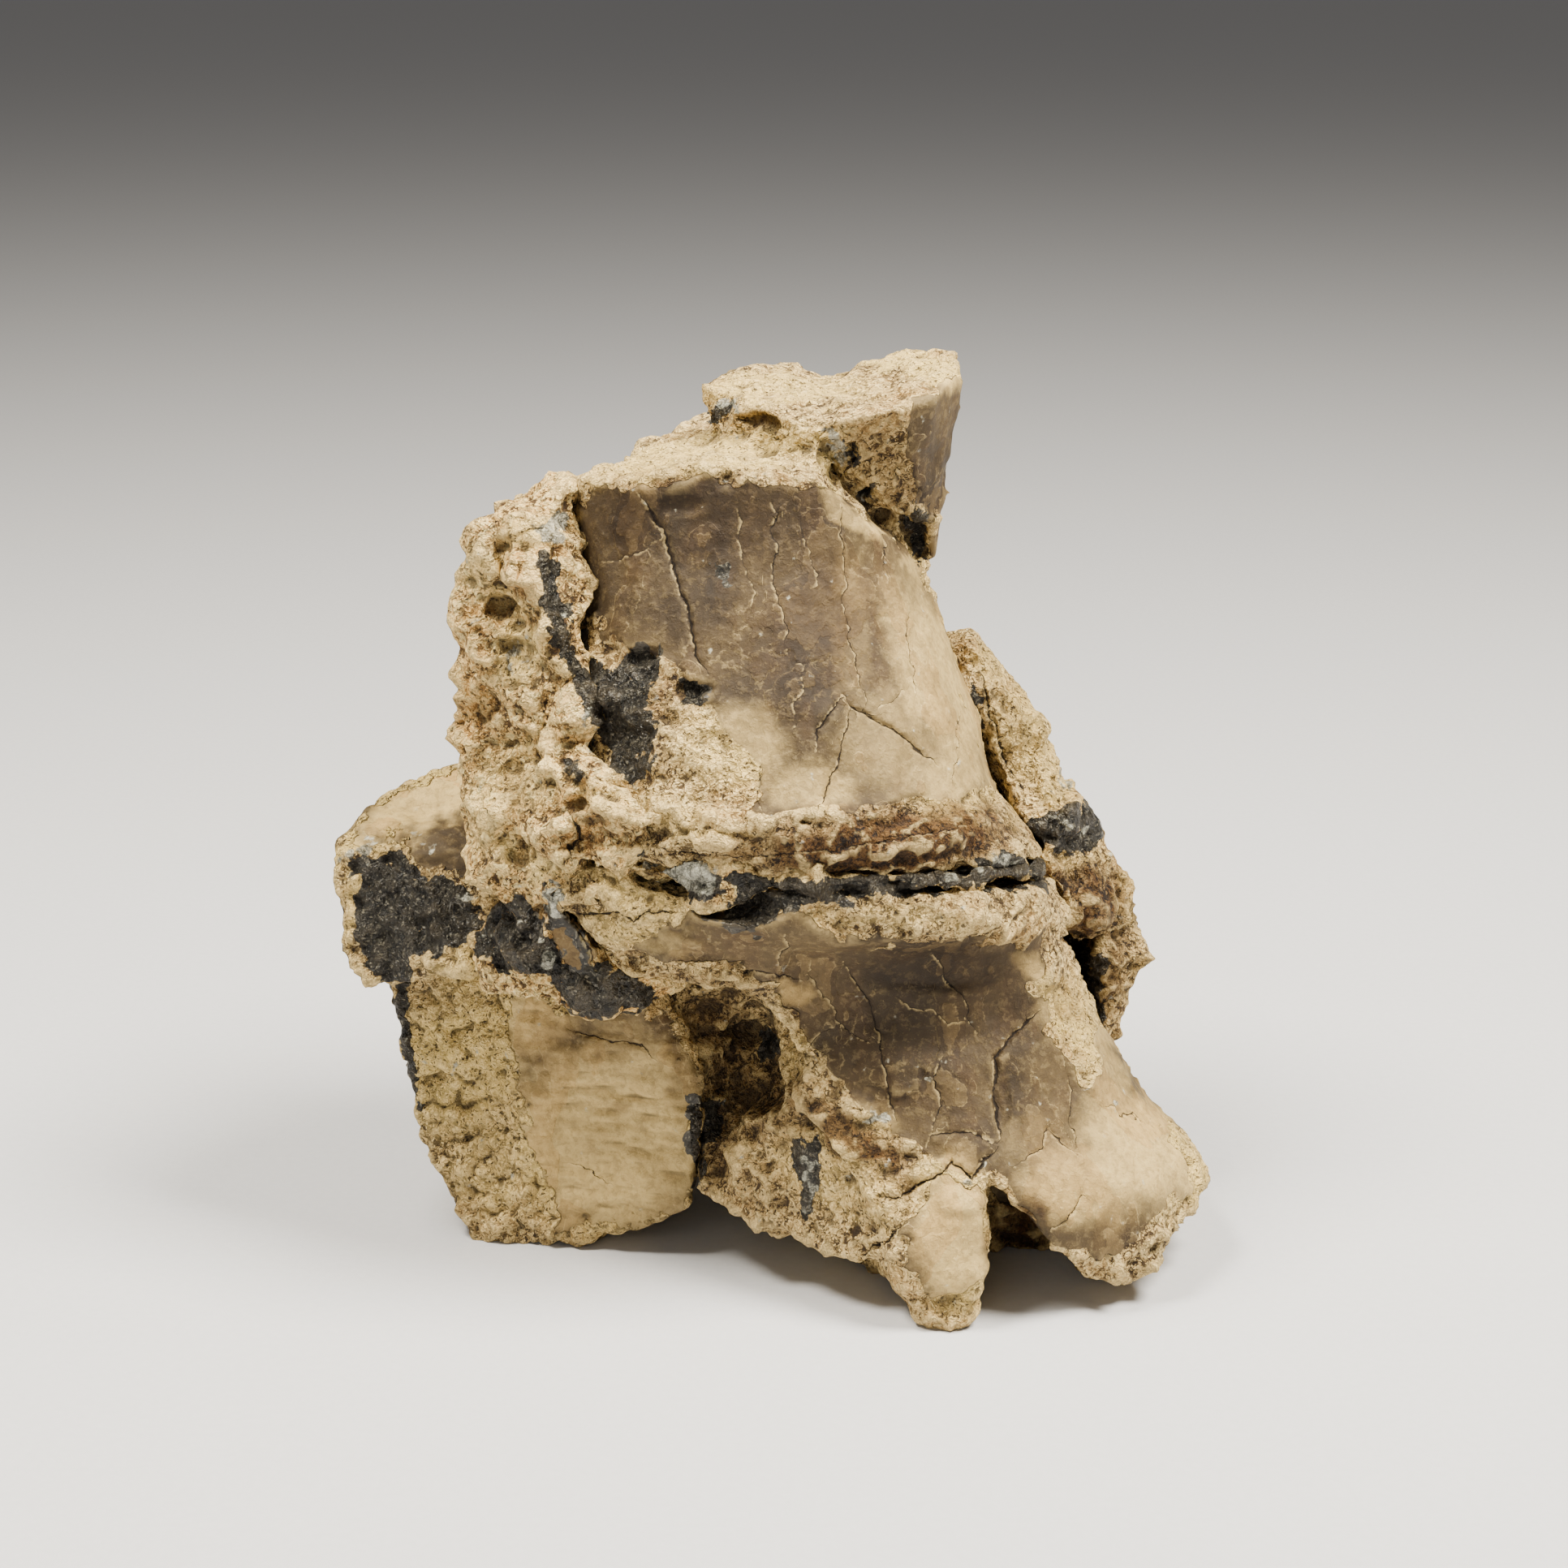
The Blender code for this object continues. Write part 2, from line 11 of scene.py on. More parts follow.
import bmesh
import bpy
import numpy as np
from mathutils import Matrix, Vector

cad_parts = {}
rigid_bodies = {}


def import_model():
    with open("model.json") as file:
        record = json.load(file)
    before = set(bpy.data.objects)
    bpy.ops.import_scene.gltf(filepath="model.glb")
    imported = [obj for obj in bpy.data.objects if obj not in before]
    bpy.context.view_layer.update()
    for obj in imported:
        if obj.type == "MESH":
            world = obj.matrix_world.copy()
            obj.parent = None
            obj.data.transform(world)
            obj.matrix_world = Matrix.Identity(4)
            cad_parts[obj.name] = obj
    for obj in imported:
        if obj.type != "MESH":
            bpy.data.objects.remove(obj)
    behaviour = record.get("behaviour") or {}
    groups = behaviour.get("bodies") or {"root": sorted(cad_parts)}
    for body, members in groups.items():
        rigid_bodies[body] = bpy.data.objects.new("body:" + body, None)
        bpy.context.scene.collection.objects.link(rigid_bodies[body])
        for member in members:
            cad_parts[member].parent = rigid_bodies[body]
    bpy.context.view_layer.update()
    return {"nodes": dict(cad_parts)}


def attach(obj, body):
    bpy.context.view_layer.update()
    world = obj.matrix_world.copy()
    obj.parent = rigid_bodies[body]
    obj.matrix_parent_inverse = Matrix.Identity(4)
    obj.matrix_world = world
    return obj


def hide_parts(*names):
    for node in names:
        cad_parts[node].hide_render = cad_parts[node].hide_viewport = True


for left_over in list(bpy.data.objects):
    bpy.data.objects.remove(left_over, do_unlink=True)
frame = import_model()

MM = 0.001
TENTHS = 10                            # plate tenths in a millimetre
PLATE = 1932.0
RISE = math.radians(16.0)
DISTANCE = 400.0                       # eye to the drawing plane, mm
REACH = 4000.0                         # drawing tenths per unit of slope
TARGET = np.array([1.14, -0.46, 57.5])  # middle of the drawing plate, mm
FORWARD = np.array([0.0, math.cos(RISE), -math.sin(RISE)])
UPWARD = np.array([0.0, math.sin(RISE), math.cos(RISE)])
RIGHTWARD = np.array([1.0, 0.0, 0.0])

# ---------------------------------------------------------------- what is drawn on the plate

# Outlines of the smooth bone wall, per piece.
SMOOTH = {
    "upper_vertebra": [
        [(712, 622), (750, 604), (850, 592), (1008, 598), (1060, 628), (1100, 656), (1136, 698),
         (1150, 750), (1172, 790), (1202, 880), (1230, 975), (1200, 972), (1130, 980),
         (1060, 986), (1000, 1004), (940, 996), (930, 930), (880, 880), (835, 812), (790, 790),
         (745, 790), (716, 720)],
        [(1128, 500), (1192, 462), (1190, 560), (1172, 650), (1154, 700), (1140, 640), (1122, 570)],
    ],
    "lower_vertebra": [
        [(962, 1108), (1040, 1158), (1140, 1166), (1254, 1160), (1296, 1152), (1292, 1190),
         (1268, 1222), (1300, 1286), (1338, 1340), (1352, 1326), (1352, 1288), (1372, 1262),
         (1398, 1330), (1440, 1380), (1470, 1425), (1466, 1470),
         (1410, 1490), (1366, 1556), (1310, 1540), (1260, 1496), (1215, 1448), (1150, 1424),
         (1110, 1402), (1040, 1352), (1004, 1290), (962, 1216), (900, 1192), (780, 1176),
         (800, 1132), (900, 1138)],
        [(1106, 1530), (1134, 1480), (1156, 1448), (1184, 1440), (1214, 1474), (1216, 1560), (1190, 1604),
         (1136, 1590)],
    ],
    "left_bone": [
        [(640, 1200), (690, 1240), (820, 1246), (862, 1330), (858, 1450), (840, 1500), (700, 1512),
         (680, 1470), (650, 1400), (630, 1300)],
        [(438, 1010), (500, 968), (575, 944), (584, 1010), (592, 1080), (540, 1070), (500, 1040),
         (440, 1036)],
    ],
    "right_bone": [],
    "rock_matrix": [
        [(668, 1112), (700, 1120), (735, 1170), (742, 1212), (700, 1190), (672, 1150)],
    ],
}

# How gradually each piece's smooth wall gives way to broken faces, in plate tenths.
SOFT_EDGE = {
    "upper_vertebra": 5, "lower_vertebra": 6, "left_bone": 24, "right_bone": 5, "rock_matrix": 5,
}

# Shallow dents and holes: middle, half-widths, turn in degrees and depth in millimetres.
# A negative depth is a knob.
DENTS = {
    "upper_vertebra": [
        (793, 807, 20, 10, -12, 1.3), (857, 849, 24, 9, 0, 1.2), (1050, 560, 8, 13, -8, 3.0),
        (1068, 604, 9, 6, 10, 2.4), (1128, 655, 14, 34, -28, 2.6), (992, 1012, 7, 6, 0, 1.3),
        (768, 905, 34, 60, -24, 0.8), (850, 950, 70, 36, 12, -0.7), (905, 1010, 60, 16, 4, -0.9),
        (850, 1038, 62, 12, -6, -1.0),
        (870, 1098, 82, 24, 6, 2.0), (720, 700, 18, 90, -14, 0.7), (1090, 560, 30, 40, 0, 0.8),
        (838, 622, 30, 14, 0, 0.5), (1245, 1062, 46, 22, 30, -0.6), (1150, 940, 60, 40, 0, 0.3),
        (1003, 905, 26, 50, 20, -0.3), (1085, 1062, 120, 9, -5, 0.5), (935, 520, 30, 8, 12, 0.9),
    ],
    "lower_vertebra": [
        (905, 1262, 66, 34, 8, 3.0), (925, 1318, 50, 56, 0, 3.2), (890, 1410, 24, 60, 12, 2.4),
        (1056, 1366, 26, 17, 24, -1.0), (968, 1290, 22, 46, -12, -1.6), (1010, 1500, 14, 50, 0, 0.6),
        (1080, 1440, 50, 26, -24, 0.8), (1140, 1420, 30, 14, 0, 0.5), (860, 1148, 80, 14, 12, 0.5),
        (905, 1118, 60, 20, 4, 1.8), (1152, 1198, 110, 26, 0, 0.9), (1158, 1250, 120, 60, 0, 1.2),
        (1312, 1236, 36, 20, 40, 0.7), (1178, 1480, 30, 18, 10, -0.6), (1000, 1408, 44, 20, 30, -0.8),
        (780, 1120, 44, 18, 30, -1.0), (1236, 1360, 10, 36, 0, 0.5), (760, 1180, 44, 12, 20, 0.8),
    ],
    "left_bone": [
        (575, 1400, 60, 90, -10, 0.7), (480, 1130, 60, 40, 0, 0.6), (560, 1190, 50, 16, 0, -0.8),
        (745, 1390, 80, 80, 0, 0.8), (600, 1480, 50, 26, 0, 0.5), (455, 1195, 26, 22, 0, -0.8),
    ],
    "right_bone": [
        (1235, 850, 16, 40, -26, 1.0), (1262, 930, 26, 36, -30, 0.9), (1300, 1040, 44, 18, 14, 1.2),
        (1332, 1118, 34, 24, 30, -1.2), (1330, 1190, 26, 40, -10, 2.4), (1300, 968, 24, 26, 0, -0.8),
    ],
    "rock_matrix": [
        (626, 760, 30, 22, 30, 1.3), (600, 700, 18, 40, 0, -0.9), (664, 700, 12, 50, -6, -0.9),
        (630, 810, 34, 26, -20, 1.2), (664, 790, 16, 30, 0, -1.4), (600, 870, 18, 30, 0, 1.2),
        (655, 912, 10, 18, 10, -0.4), (640, 860, 22, 16, 0, -1.2), (712, 947, 15, 12, 0, -1.3),
        (690, 820, 22, 12, 30, -1.1), (640, 960, 30, 24, 0, 0.9), (700, 1012, 46, 14, -24, -1.2),
        (760, 1000, 46, 12, 20, -1.4), (760, 1036, 60, 14, -4, 1.3), (700, 1060, 26, 14, 0, -1.0),
        (600, 1010, 22, 44, 0, -0.9), (640, 1050, 22, 18, 0, 1.0), (650, 1150, 30, 60, 8, -0.6),
        (835, 1070, 50, 16, 6, -0.9), (1120, 1088, 200, 20, -5, -0.8),
        (560, 1100, 20, 30, 0, 0.5), (650, 640, 26, 10, 0, -0.6),
    ],
}

# Cracks: breadth and depth in millimetres, then the points along each.
CRACKS = {
    "upper_vertebra": [
        (0.26, 0.36, [(1039, 854), (1027, 870), (1018, 886), (1007, 898), (1009, 910), (1007, 927)]),
        (0.31, 0.42, [(1039, 854), (1048, 866), (1071, 880), (1092, 892), (1114, 907), (1128, 921),
                      (1142, 932), (1156, 943)]),
        (0.19, 0.27, [(1050, 866), (1045, 882), (1043, 900), (1036, 922), (1032, 943), (1024, 960),
                      (1019, 972), (1012, 990), (1006, 1003)]),
        (0.12, 0.17, [(1036, 612), (1038, 637), (1036, 660), (1042, 676), (1040, 700), (1041, 719),
                      (1039, 735), (1042, 750), (1048, 774), (1046, 790), (1050, 802), (1056, 818),
                      (1059, 832), (1062, 848), (1068, 862), (1071, 878)]),
        (0.14, 0.18, [(949, 618), (960, 633), (956, 644), (952, 655), (957, 672), (955, 689),
                      (951, 706), (954, 725), (961, 744), (965, 752), (968, 765), (973, 777),
                      (968, 790), (970, 806)]),
        (0.09, 0.12, [(972, 633), (984, 637), (988, 650), (992, 664), (996, 680), (1001, 695),
                      (1009, 708), (1004, 722), (992, 728)]),
        (0.09, 0.10, [(1120, 744), (1121, 758), (1118, 775), (1122, 800), (1125, 826), (1127, 845),
                      (1130, 866)]),
        (0.32, 0.40, [(787, 608), (796, 622), (806, 640), (818, 661), (823, 680), (832, 699),
                      (833, 714), (838, 730), (848, 748), (852, 768), (853, 788), (858, 809),
                      (866, 822), (873, 834)]),
        (0.10, 0.12, [(739, 692), (760, 690), (778, 683), (792, 676), (808, 668)]),
        (0.08, 0.09, [(908, 612), (914, 640), (909, 668), (918, 700), (930, 730), (926, 760)]),
        (0.08, 0.09, [(1000, 812), (988, 830), (990, 850), (978, 868), (982, 890), (968, 905)]),
        (0.10, 0.12, [(1071, 878), (1090, 868), (1108, 858), (1120, 842)]),
        (0.08, 0.09, [(1084, 640), (1092, 668), (1090, 700), (1098, 730)]),
        (0.08, 0.09, [(1186, 870), (1178, 900), (1182, 930), (1174, 955), (1180, 975)]),
        (0.09, 0.12, [(965, 800), (976, 815), (992, 818), (1004, 812)]),
        (0.12, 0.20, [(800, 1046), (850, 1050), (899, 1056), (950, 1054), (998, 1049), (1040, 1046),
                      (1077, 1038), (1110, 1034), (1136, 1027), (1170, 1022), (1198, 1014)]),
        (0.12, 0.21, [(936, 930), (938, 955), (934, 975), (938, 998)]),
    ],
    "lower_vertebra": [
        (0.14, 0.18, [(1144, 1169), (1158, 1185), (1166, 1204), (1182, 1224), (1192, 1240),
                      (1196, 1258), (1205, 1277)]),
        (0.34, 0.48, [(1284, 1243), (1266, 1258), (1250, 1276), (1238, 1290), (1227, 1304),
                      (1229, 1325), (1225, 1345), (1229, 1372), (1233, 1398), (1232, 1410)]),
        (0.19, 0.24, [(1039, 1182), (1048, 1200), (1062, 1220), (1076, 1240), (1079, 1256),
                      (1083, 1278), (1085, 1298), (1090, 1318), (1094, 1340), (1096, 1360),
                      (1106, 1382)]),
        (0.37, 0.54, [(1232, 1410), (1222, 1424), (1208, 1440), (1196, 1450), (1186, 1440),
                      (1174, 1430), (1164, 1441), (1148, 1454), (1128, 1464), (1104, 1476),
                      (1084, 1474)]),
        (0.19, 0.24, [(1233, 1409), (1214, 1402), (1195, 1394), (1170, 1397), (1147, 1402),
                      (1140, 1414)]),
        (0.22, 0.27, [(1363, 1362), (1374, 1364), (1380, 1374), (1394, 1372), (1406, 1384)]),
        (0.10, 0.12, [(1000, 1180), (996, 1200), (1010, 1222), (1030, 1240), (1034, 1262),
                      (1058, 1280), (1085, 1290)]),
        (0.10, 0.12, [(1034, 1262), (1010, 1276), (996, 1290), (1000, 1310)]),
        (0.12, 0.18, [(972, 1140), (966, 1160), (974, 1168), (958, 1180), (960, 1196)]),
        (0.19, 0.30, [(900, 1194), (930, 1200), (962, 1202), (990, 1210)]),
        (0.11, 0.13, [(1310, 1300), (1322, 1340), (1318, 1380), (1330, 1420)]),
        (0.09, 0.12, [(1100, 1224), (1120, 1240), (1150, 1244), (1166, 1262), (1196, 1258)]),
        (0.31, 0.48, [(700, 1122), (730, 1128), (760, 1126), (780, 1136), (800, 1124), (840, 1122)]),
        (0.12, 0.18, [(1160, 1300), (1150, 1330), (1160, 1360), (1147, 1402)]),
        (0.15, 0.22, [(1250, 1440), (1268, 1425), (1285, 1412), (1290, 1390), (1300, 1400),
                      (1318, 1412), (1328, 1424)]),
        (0.15, 0.22, [(1290, 1520), (1300, 1512), (1322, 1496), (1330, 1470), (1344, 1478)]),
        (0.28, 0.42, [(1060, 1552), (1072, 1540), (1090, 1530), (1104, 1512), (1120, 1506)]),
    ],
    "left_bone": [
        (0.19, 0.24, [(696, 1268), (740, 1280), (790, 1286), (812, 1308)]),
        (0.10, 0.12, [(690, 1430), (730, 1440), (760, 1470)]),
    ],
    "right_bone": [
        (0.25, 0.36, [(1210, 815), (1216, 860), (1228, 900), (1240, 940), (1262, 975)]),
    ],
    "rock_matrix": [
        (0.43, 0.60, [(700, 1000), (720, 1034), (700, 1046), (706, 1064)]),
        (0.31, 0.48, [(686, 1108), (704, 1130), (722, 1160), (736, 1196)]),
    ],
}

# Black glossy mineral, as outlines.
BLACK = {
    "upper_vertebra": [
        [(668, 668), (700, 650), (712, 690), (706, 740), (724, 790), (760, 830), (800, 800),
         (806, 830), (790, 860), (808, 890), (796, 930), (804, 960), (770, 966), (748, 930),
         (716, 880), (700, 820), (682, 760)],
        [(1196, 1062), (1232, 1044), (1270, 1060), (1296, 1084), (1262, 1084), (1210, 1078)],
        [(836, 840), (880, 836), (882, 862), (846, 866)],
        [(776, 794), (812, 796), (810, 820), (780, 822)],
        [(1118, 620), (1142, 640), (1146, 690), (1128, 686), (1112, 648)],
        [(1040, 544), (1058, 548), (1060, 576), (1044, 574)],
        [(1058, 596), (1078, 598), (1078, 612), (1060, 610)],
        [(872, 1086), (960, 1092), (958, 1130), (900, 1140), (868, 1118)],
        [(868, 500), (900, 498), (900, 516), (872, 516)],
        [(888, 684), (902, 690), (898, 724), (888, 716)],
    ],
    "lower_vertebra": [
        [(848, 1094), (990, 1092), (980, 1122), (934, 1146), (878, 1138)],
        [(950, 1090), (1100, 1082), (1210, 1066), (1300, 1066), (1290, 1092), (1160, 1100),
         (1040, 1112), (954, 1118)],
        [(984, 1400), (1008, 1410), (1006, 1500), (986, 1508), (980, 1460)],
        [(938, 1262), (962, 1280), (956, 1306), (936, 1300)],
        [(862, 1344), (884, 1350), (886, 1400), (866, 1460), (858, 1400)],
    ],
    "left_bone": [
        [(432, 1058), (490, 1050), (520, 1068), (560, 1092), (590, 1120), (596, 1172), (560, 1172),
         (504, 1180), (497, 1212), (460, 1208), (440, 1190), (436, 1120)],
        [(478, 1212), (500, 1216), (506, 1260), (520, 1330), (524, 1366), (508, 1340), (488, 1276)],
        [(852, 1350), (872, 1350), (874, 1460), (854, 1480)],
    ],
    "right_bone": [
        [(1248, 1010), (1290, 1006), (1330, 982), (1356, 996), (1366, 1040), (1330, 1050),
         (1300, 1052), (1262, 1040)],
        # Inside the right bone's shell: black mineral, and painted shade in the cavity.
        [(1300, 1150), (1330, 1156), (1362, 1180), (1366, 1262), (1340, 1240), (1306, 1190)],
        [(1196, 840), (1212, 860), (1216, 920), (1200, 900)],
    ],
    "rock_matrix": [
        [(588, 1126), (604, 1098), (640, 1102), (676, 1140), (696, 1180), (760, 1192), (806, 1214),
         (800, 1246), (740, 1260), (694, 1246), (680, 1204), (610, 1200), (588, 1176)],
        [(654, 672), (690, 690), (694, 740), (716, 800), (740, 850), (760, 900), (756, 950),
         (720, 880), (690, 810), (672, 750)],
        [(786, 1050), (840, 1044), (880, 1066), (900, 1096), (870, 1110), (820, 1100), (796, 1080)],
        [(900, 1080), (1010, 1084), (1100, 1076), (1180, 1062), (1240, 1042), (1300, 1034),
         (1310, 1084), (1240, 1090), (1180, 1098), (1100, 1108), (1010, 1114), (900, 1126)],
        [(672, 1090), (690, 1096), (700, 1130), (740, 1190), (746, 1216), (716, 1180), (684, 1140)],
        [(698, 938), (716, 934), (726, 948), (712, 960), (698, 956)],
    ],
}

# Other tints: middle, half-widths, turn in degrees and strength.
# Brown tints are partly brown stains and partly painted shade: under the rims and overhangs, inside the
# cavities and behind the notch between toe and foot.
BROWN = {
    "upper_vertebra": [
        (832, 670, 16, 36, 10, 0.9), (890, 716, 24, 66, -4, 0.85), (860, 770, 60, 60, 0, 0.45),
        (940, 830, 70, 50, 0, 0.5), (860, 640, 180, 60, 0, 0.95), (960, 1050, 120, 28, 0, 0.65),
        (1095, 1040, 180, 46, -6, 1.4), (965, 720, 60, 110, 0, 0.5), (1080, 560, 40, 40, 0, 0.5),
        (1120, 620, 30, 40, -30, 0.9), (940, 600, 100, 10, 0, 0.3), (820, 860, 40, 40, 0, 0.6),
        (950, 1072, 60, 20, 0, 0.8), (912, 505, 40, 14, 0, 0.4), (750, 700, 40, 90, 0, 0.35),
        (1168, 570, 22, 100, 4, 0.35), (1010, 780, 70, 120, 0, 0.9), (1210, 1040, 60, 16, 10, 0.5),
    ],
    "lower_vertebra": [
        (880, 1270, 60, 56, 0, 0.85), (900, 1340, 44, 60, 0, 0.85), (880, 1420, 26, 60, 8, 0.8),
        (1160, 1196, 130, 38, 0, 0.85), (1150, 1250, 130, 60, 0, 0.6), (1110, 1330, 80, 70, 0, 0.35),
        (1020, 1376, 66, 22, 34, 1.2), (1070, 1410, 46, 18, 20, 1.2), (960, 1330, 40, 40, 0, 0.6),
        (870, 1214, 90, 16, 6, 0.6), (1120, 1120, 100, 12, 0, 0.25), (1240, 1350, 16, 50, 0, 0.5),
        (1310, 1230, 50, 20, 40, 0.5), (1275, 1410, 70, 44, -20, 0.35),
        (1250, 1510, 44, 44, 0, 1.2), (930, 1510, 60, 16, 20, 0.3), (1000, 1230, 40, 50, 0, 0.3),
        (1050, 1300, 50, 50, 0, 0.3), (962, 1362, 60, 46, 10, 0.9), (1052, 1402, 84, 24, 26, 1.3),
        (920, 1480, 54, 40, 0, 0.45), (1100, 1446, 50, 18, 16, 0.7), (1100, 1474, 60, 9, -12, 0.6),
    ],
    "left_bone": [
        (560, 1230, 60, 30, 0, 0.35), (560, 1480, 36, 30, 0, 0.5), (730, 1284, 80, 16, 8, 0.45),
        (765, 1362, 12, 9, 0, 0.6), (550, 1060, 36, 30, 0, 0.4), (600, 1380, 40, 90, 10, 0.3),
        (840, 1320, 14, 60, 0, 0.5),
    ],
    "right_bone": [
        (1236, 880, 20, 60, -28, 0.4), (1345, 1150, 50, 70, 0, 1.0),
        (1340, 1110, 60, 50, 20, 1.2), (1320, 1080, 50, 24, 0, 0.5),
        (1350, 1220, 30, 60, 0, 0.9), (1300, 1130, 30, 40, 0, 0.7),
    ],
    "rock_matrix": [
        (600, 668, 30, 24, 0, 0.5), (640, 726, 40, 14, 30, 0.5), (600, 900, 20, 40, 0, 0.4),
        (700, 1040, 50, 10, -10, 0.6), (640, 985, 20, 26, 0, 0.4), (750, 1010, 50, 14, 10, 0.4),
        (690, 1150, 30, 50, -30, 0.5), (1110, 1048, 190, 40, -4, 1.0), (820, 1046, 60, 10, 0, 0.8),
    ],
}
# Pale tints are partly paler bone and partly painted light on the faces that the lamps catch best.
PALE = {
    "upper_vertebra": [
        (1160, 840, 50, 130, -20, 0.72), (1110, 920, 90, 60, 20, 0.32), (1180, 970, 50, 50, 0, 0.6),
        (1120, 448, 90, 20, 12, 1.0), (900, 920, 70, 50, 0, 0.6), (1000, 970, 60, 30, 0, 0.55),
        (960, 480, 110, 18, 0, 0.8), (870, 1026, 70, 9, 4, 0.5), (690, 640, 26, 12, -20, 0.9),
        (1050, 790, 20, 120, 0, 0.3), (1250, 1010, 16, 20, 0, 0.5), (1056, 640, 40, 10, 36, 0.9),
        (1020, 590, 10, 40, -24, 0.9),
        (880, 560, 160, 26, -8, 0.85), (1018, 560, 12, 36, -20, 0.8), (820, 1000, 60, 24, 0, 0.4),
        (1128, 690, 10, 60, -10, 0.5),
    ],
    "lower_vertebra": [
        (1330, 1250, 60, 40, 30, 0.6), (1290, 1215, 44, 15, 45, 1.0), (1324, 1274, 50, 15, 52, 0.9),
        (1162, 1450, 40, 26, 0, 0.8), (1400, 1420, 80, 70, 40, 0.9), (1460, 1440, 24, 60, -30, 0.9),
        (1320, 1460, 70, 50, 20, 0.7), (1178, 1520, 50, 90, 0, 1.0), (790, 1150, 70, 18, 12, 0.5),
        (1100, 1130, 120, 12, 0, 0.3), (1075, 1385, 30, 26, 20, 0.45), (975, 1220, 22, 14, 0, 0.8),
        (780, 1104, 70, 26, 26, 0.6), (1270, 1400, 50, 30, -30, 0.2), (980, 1306, 14, 30, 0, 0.6),
        (1040, 1450, 90, 50, 30, 0.4), (1360, 1320, 30, 70, -25, 0.5),
    ],
    "left_bone": [
        (426, 1044, 26, 10, -50, 1.0), (590, 1200, 50, 34, 0, 0.7), (520, 990, 90, 34, -28, 1.4),
        (650, 1250, 60, 50, 0, 0.8),
        (750, 1400, 120, 120, 0, 0.9), (848, 1380, 10, 90, 0, 0.5), (600, 1440, 50, 60, 0, 0.5),
        (570, 1310, 80, 90, 0, 0.8), (680, 1220, 70, 34, 0, 0.8), (430, 1120, 6, 50, 0, 0.6),
    ],
    "right_bone": [
        (1262, 900, 40, 60, -30, 0.7), (1300, 958, 24, 34, 0, 0.7), (1385, 1110, 14, 40, 0, 0.6),
        (1312, 1060, 50, 10, 0, 0.4), (1222, 820, 20, 30, -30, 0.6),
    ],
    "rock_matrix": [
        (640, 808, 30, 40, -10, 0.9), (618, 740, 40, 16, 20, 0.6), (626, 1046, 18, 18, 0, 1.0),
        (664, 1070, 24, 22, 0, 0.8), (700, 820, 24, 12, 0, 0.6), (650, 912, 10, 18, 10, 0.7),
        (600, 1000, 24, 50, 0, 0.5), (760, 990, 60, 20, 20, 0.5), (650, 655, 40, 20, -20, 0.7),
        (640, 960, 50, 40, 0, 0.5), (816, 1078, 40, 12, 10, 0.5), (590, 700, 26, 30, 0, 0.6),
    ],
}
CRYSTAL = {
    "upper_vertebra": [
        (1240, 1062, 34, 9, 30, 0.6), (930, 580, 30, 8, 0, 0.3), (1030, 545, 14, 24, -20, 0.7),
        (896, 500, 22, 6, 0, 0.7), (684, 650, 28, 14, -30, 1.0), (1080, 1090, 90, 6, -8, 0.4),
    ],
    "lower_vertebra": [(1076, 1372, 20, 14, 10, 0.6), (996, 1460, 10, 50, 0, 0.5)],
    "left_bone": [(440, 1046, 40, 10, -40, 0.5), (586, 1090, 20, 40, 20, 0.4)],
    "right_bone": [(1316, 1018, 24, 8, 10, 0.5), (1308, 955, 14, 22, 0, 0.5)],
    "rock_matrix": [
        (840, 1074, 56, 24, 8, 1.0), (680, 650, 26, 16, -30, 1.0), (684, 1110, 12, 20, 0, 0.8),
        (740, 900, 24, 40, -24, 0.4), (676, 1180, 14, 14, 0, 0.6), (640, 810, 20, 24, 0, 0.4),
        (1180, 1078, 80, 6, -8, 0.4),
    ],
}

# How each piece is finished, in mm: its voxels, the swelling that closes the clearance to its
# neighbours, rounds of smoothing, then the relief of its broken faces and of its smooth wall.
FINISH = {
    "upper_vertebra": dict(
        voxel=0.47, swell=0.05, rounds=8, broad=0.40, flake=0.46, chip=0.44, crumb=0.14, pit=0.15,
        lump=0.0, wrinkle=0.05,
    ),
    "lower_vertebra": dict(
        voxel=0.49, swell=0.05, rounds=8, broad=0.50, flake=0.50, chip=0.46, crumb=0.14, pit=0.18,
        lump=0.0, wrinkle=0.07,
    ),
    "left_bone": dict(
        voxel=0.37, swell=0.10, rounds=6, broad=0.35, flake=0.24, chip=0.10, crumb=0.16, pit=0.10,
        lump=0.50, wrinkle=0.45,
    ),
    "right_bone": dict(
        voxel=0.30, swell=0.25, rounds=10, broad=0.60, flake=0.56, chip=0.48, crumb=0.14, pit=0.25,
        lump=0.0, wrinkle=0.05,
    ),
    "rock_matrix": dict(
        voxel=0.42, swell=0.45, rounds=4, broad=0.90, flake=0.78, chip=0.46, crumb=0.13, pit=0.20,
        lump=0.0, wrinkle=0.05,
    ),
}
SLOTS = {
    "upper_vertebra": "fossil_bone",
    "lower_vertebra": "fossil_bone",
    "left_bone": "fossil_bone",
    "right_bone": "broken_bone",
    "rock_matrix": "rock_matrix",
}

# The patches on the sides that the plate doesn't show: size in mm, seed and how rare they are.
BEHIND = {
    "black": (14.0, 111, 0.50),
    "brown": (18.0, 121, 0.05),
    "pale": (15.0, 131, 0.10),
    "crystal": (9.0, 141, 0.75),
}

# How far below its surroundings a point counts as wholly in a hollow, in mm.
DEEP = 0.30

# Widths of what the surfaces are broken into, in mm, and the mean depth that scoops() gives.
FACET = 13.0
FLAKE = 6.0
CHIP = 2.4
LUMP = 1.9
CRUMB = 1.3
EVEN = 0.14


# ---------------------------------------------------------------- weather and stone, in numbers

# Large primes that scramble whole numbers of 32 bits, the last one for the seed.
SCRAMBLE_X = np.uint32(374761393)
SCRAMBLE_Y = np.uint32(668265263)
SCRAMBLE_Z = np.uint32(2246822519)
SCRAMBLE_SEED = 3266489917
WHOLE_RANGE = 2 ** 32


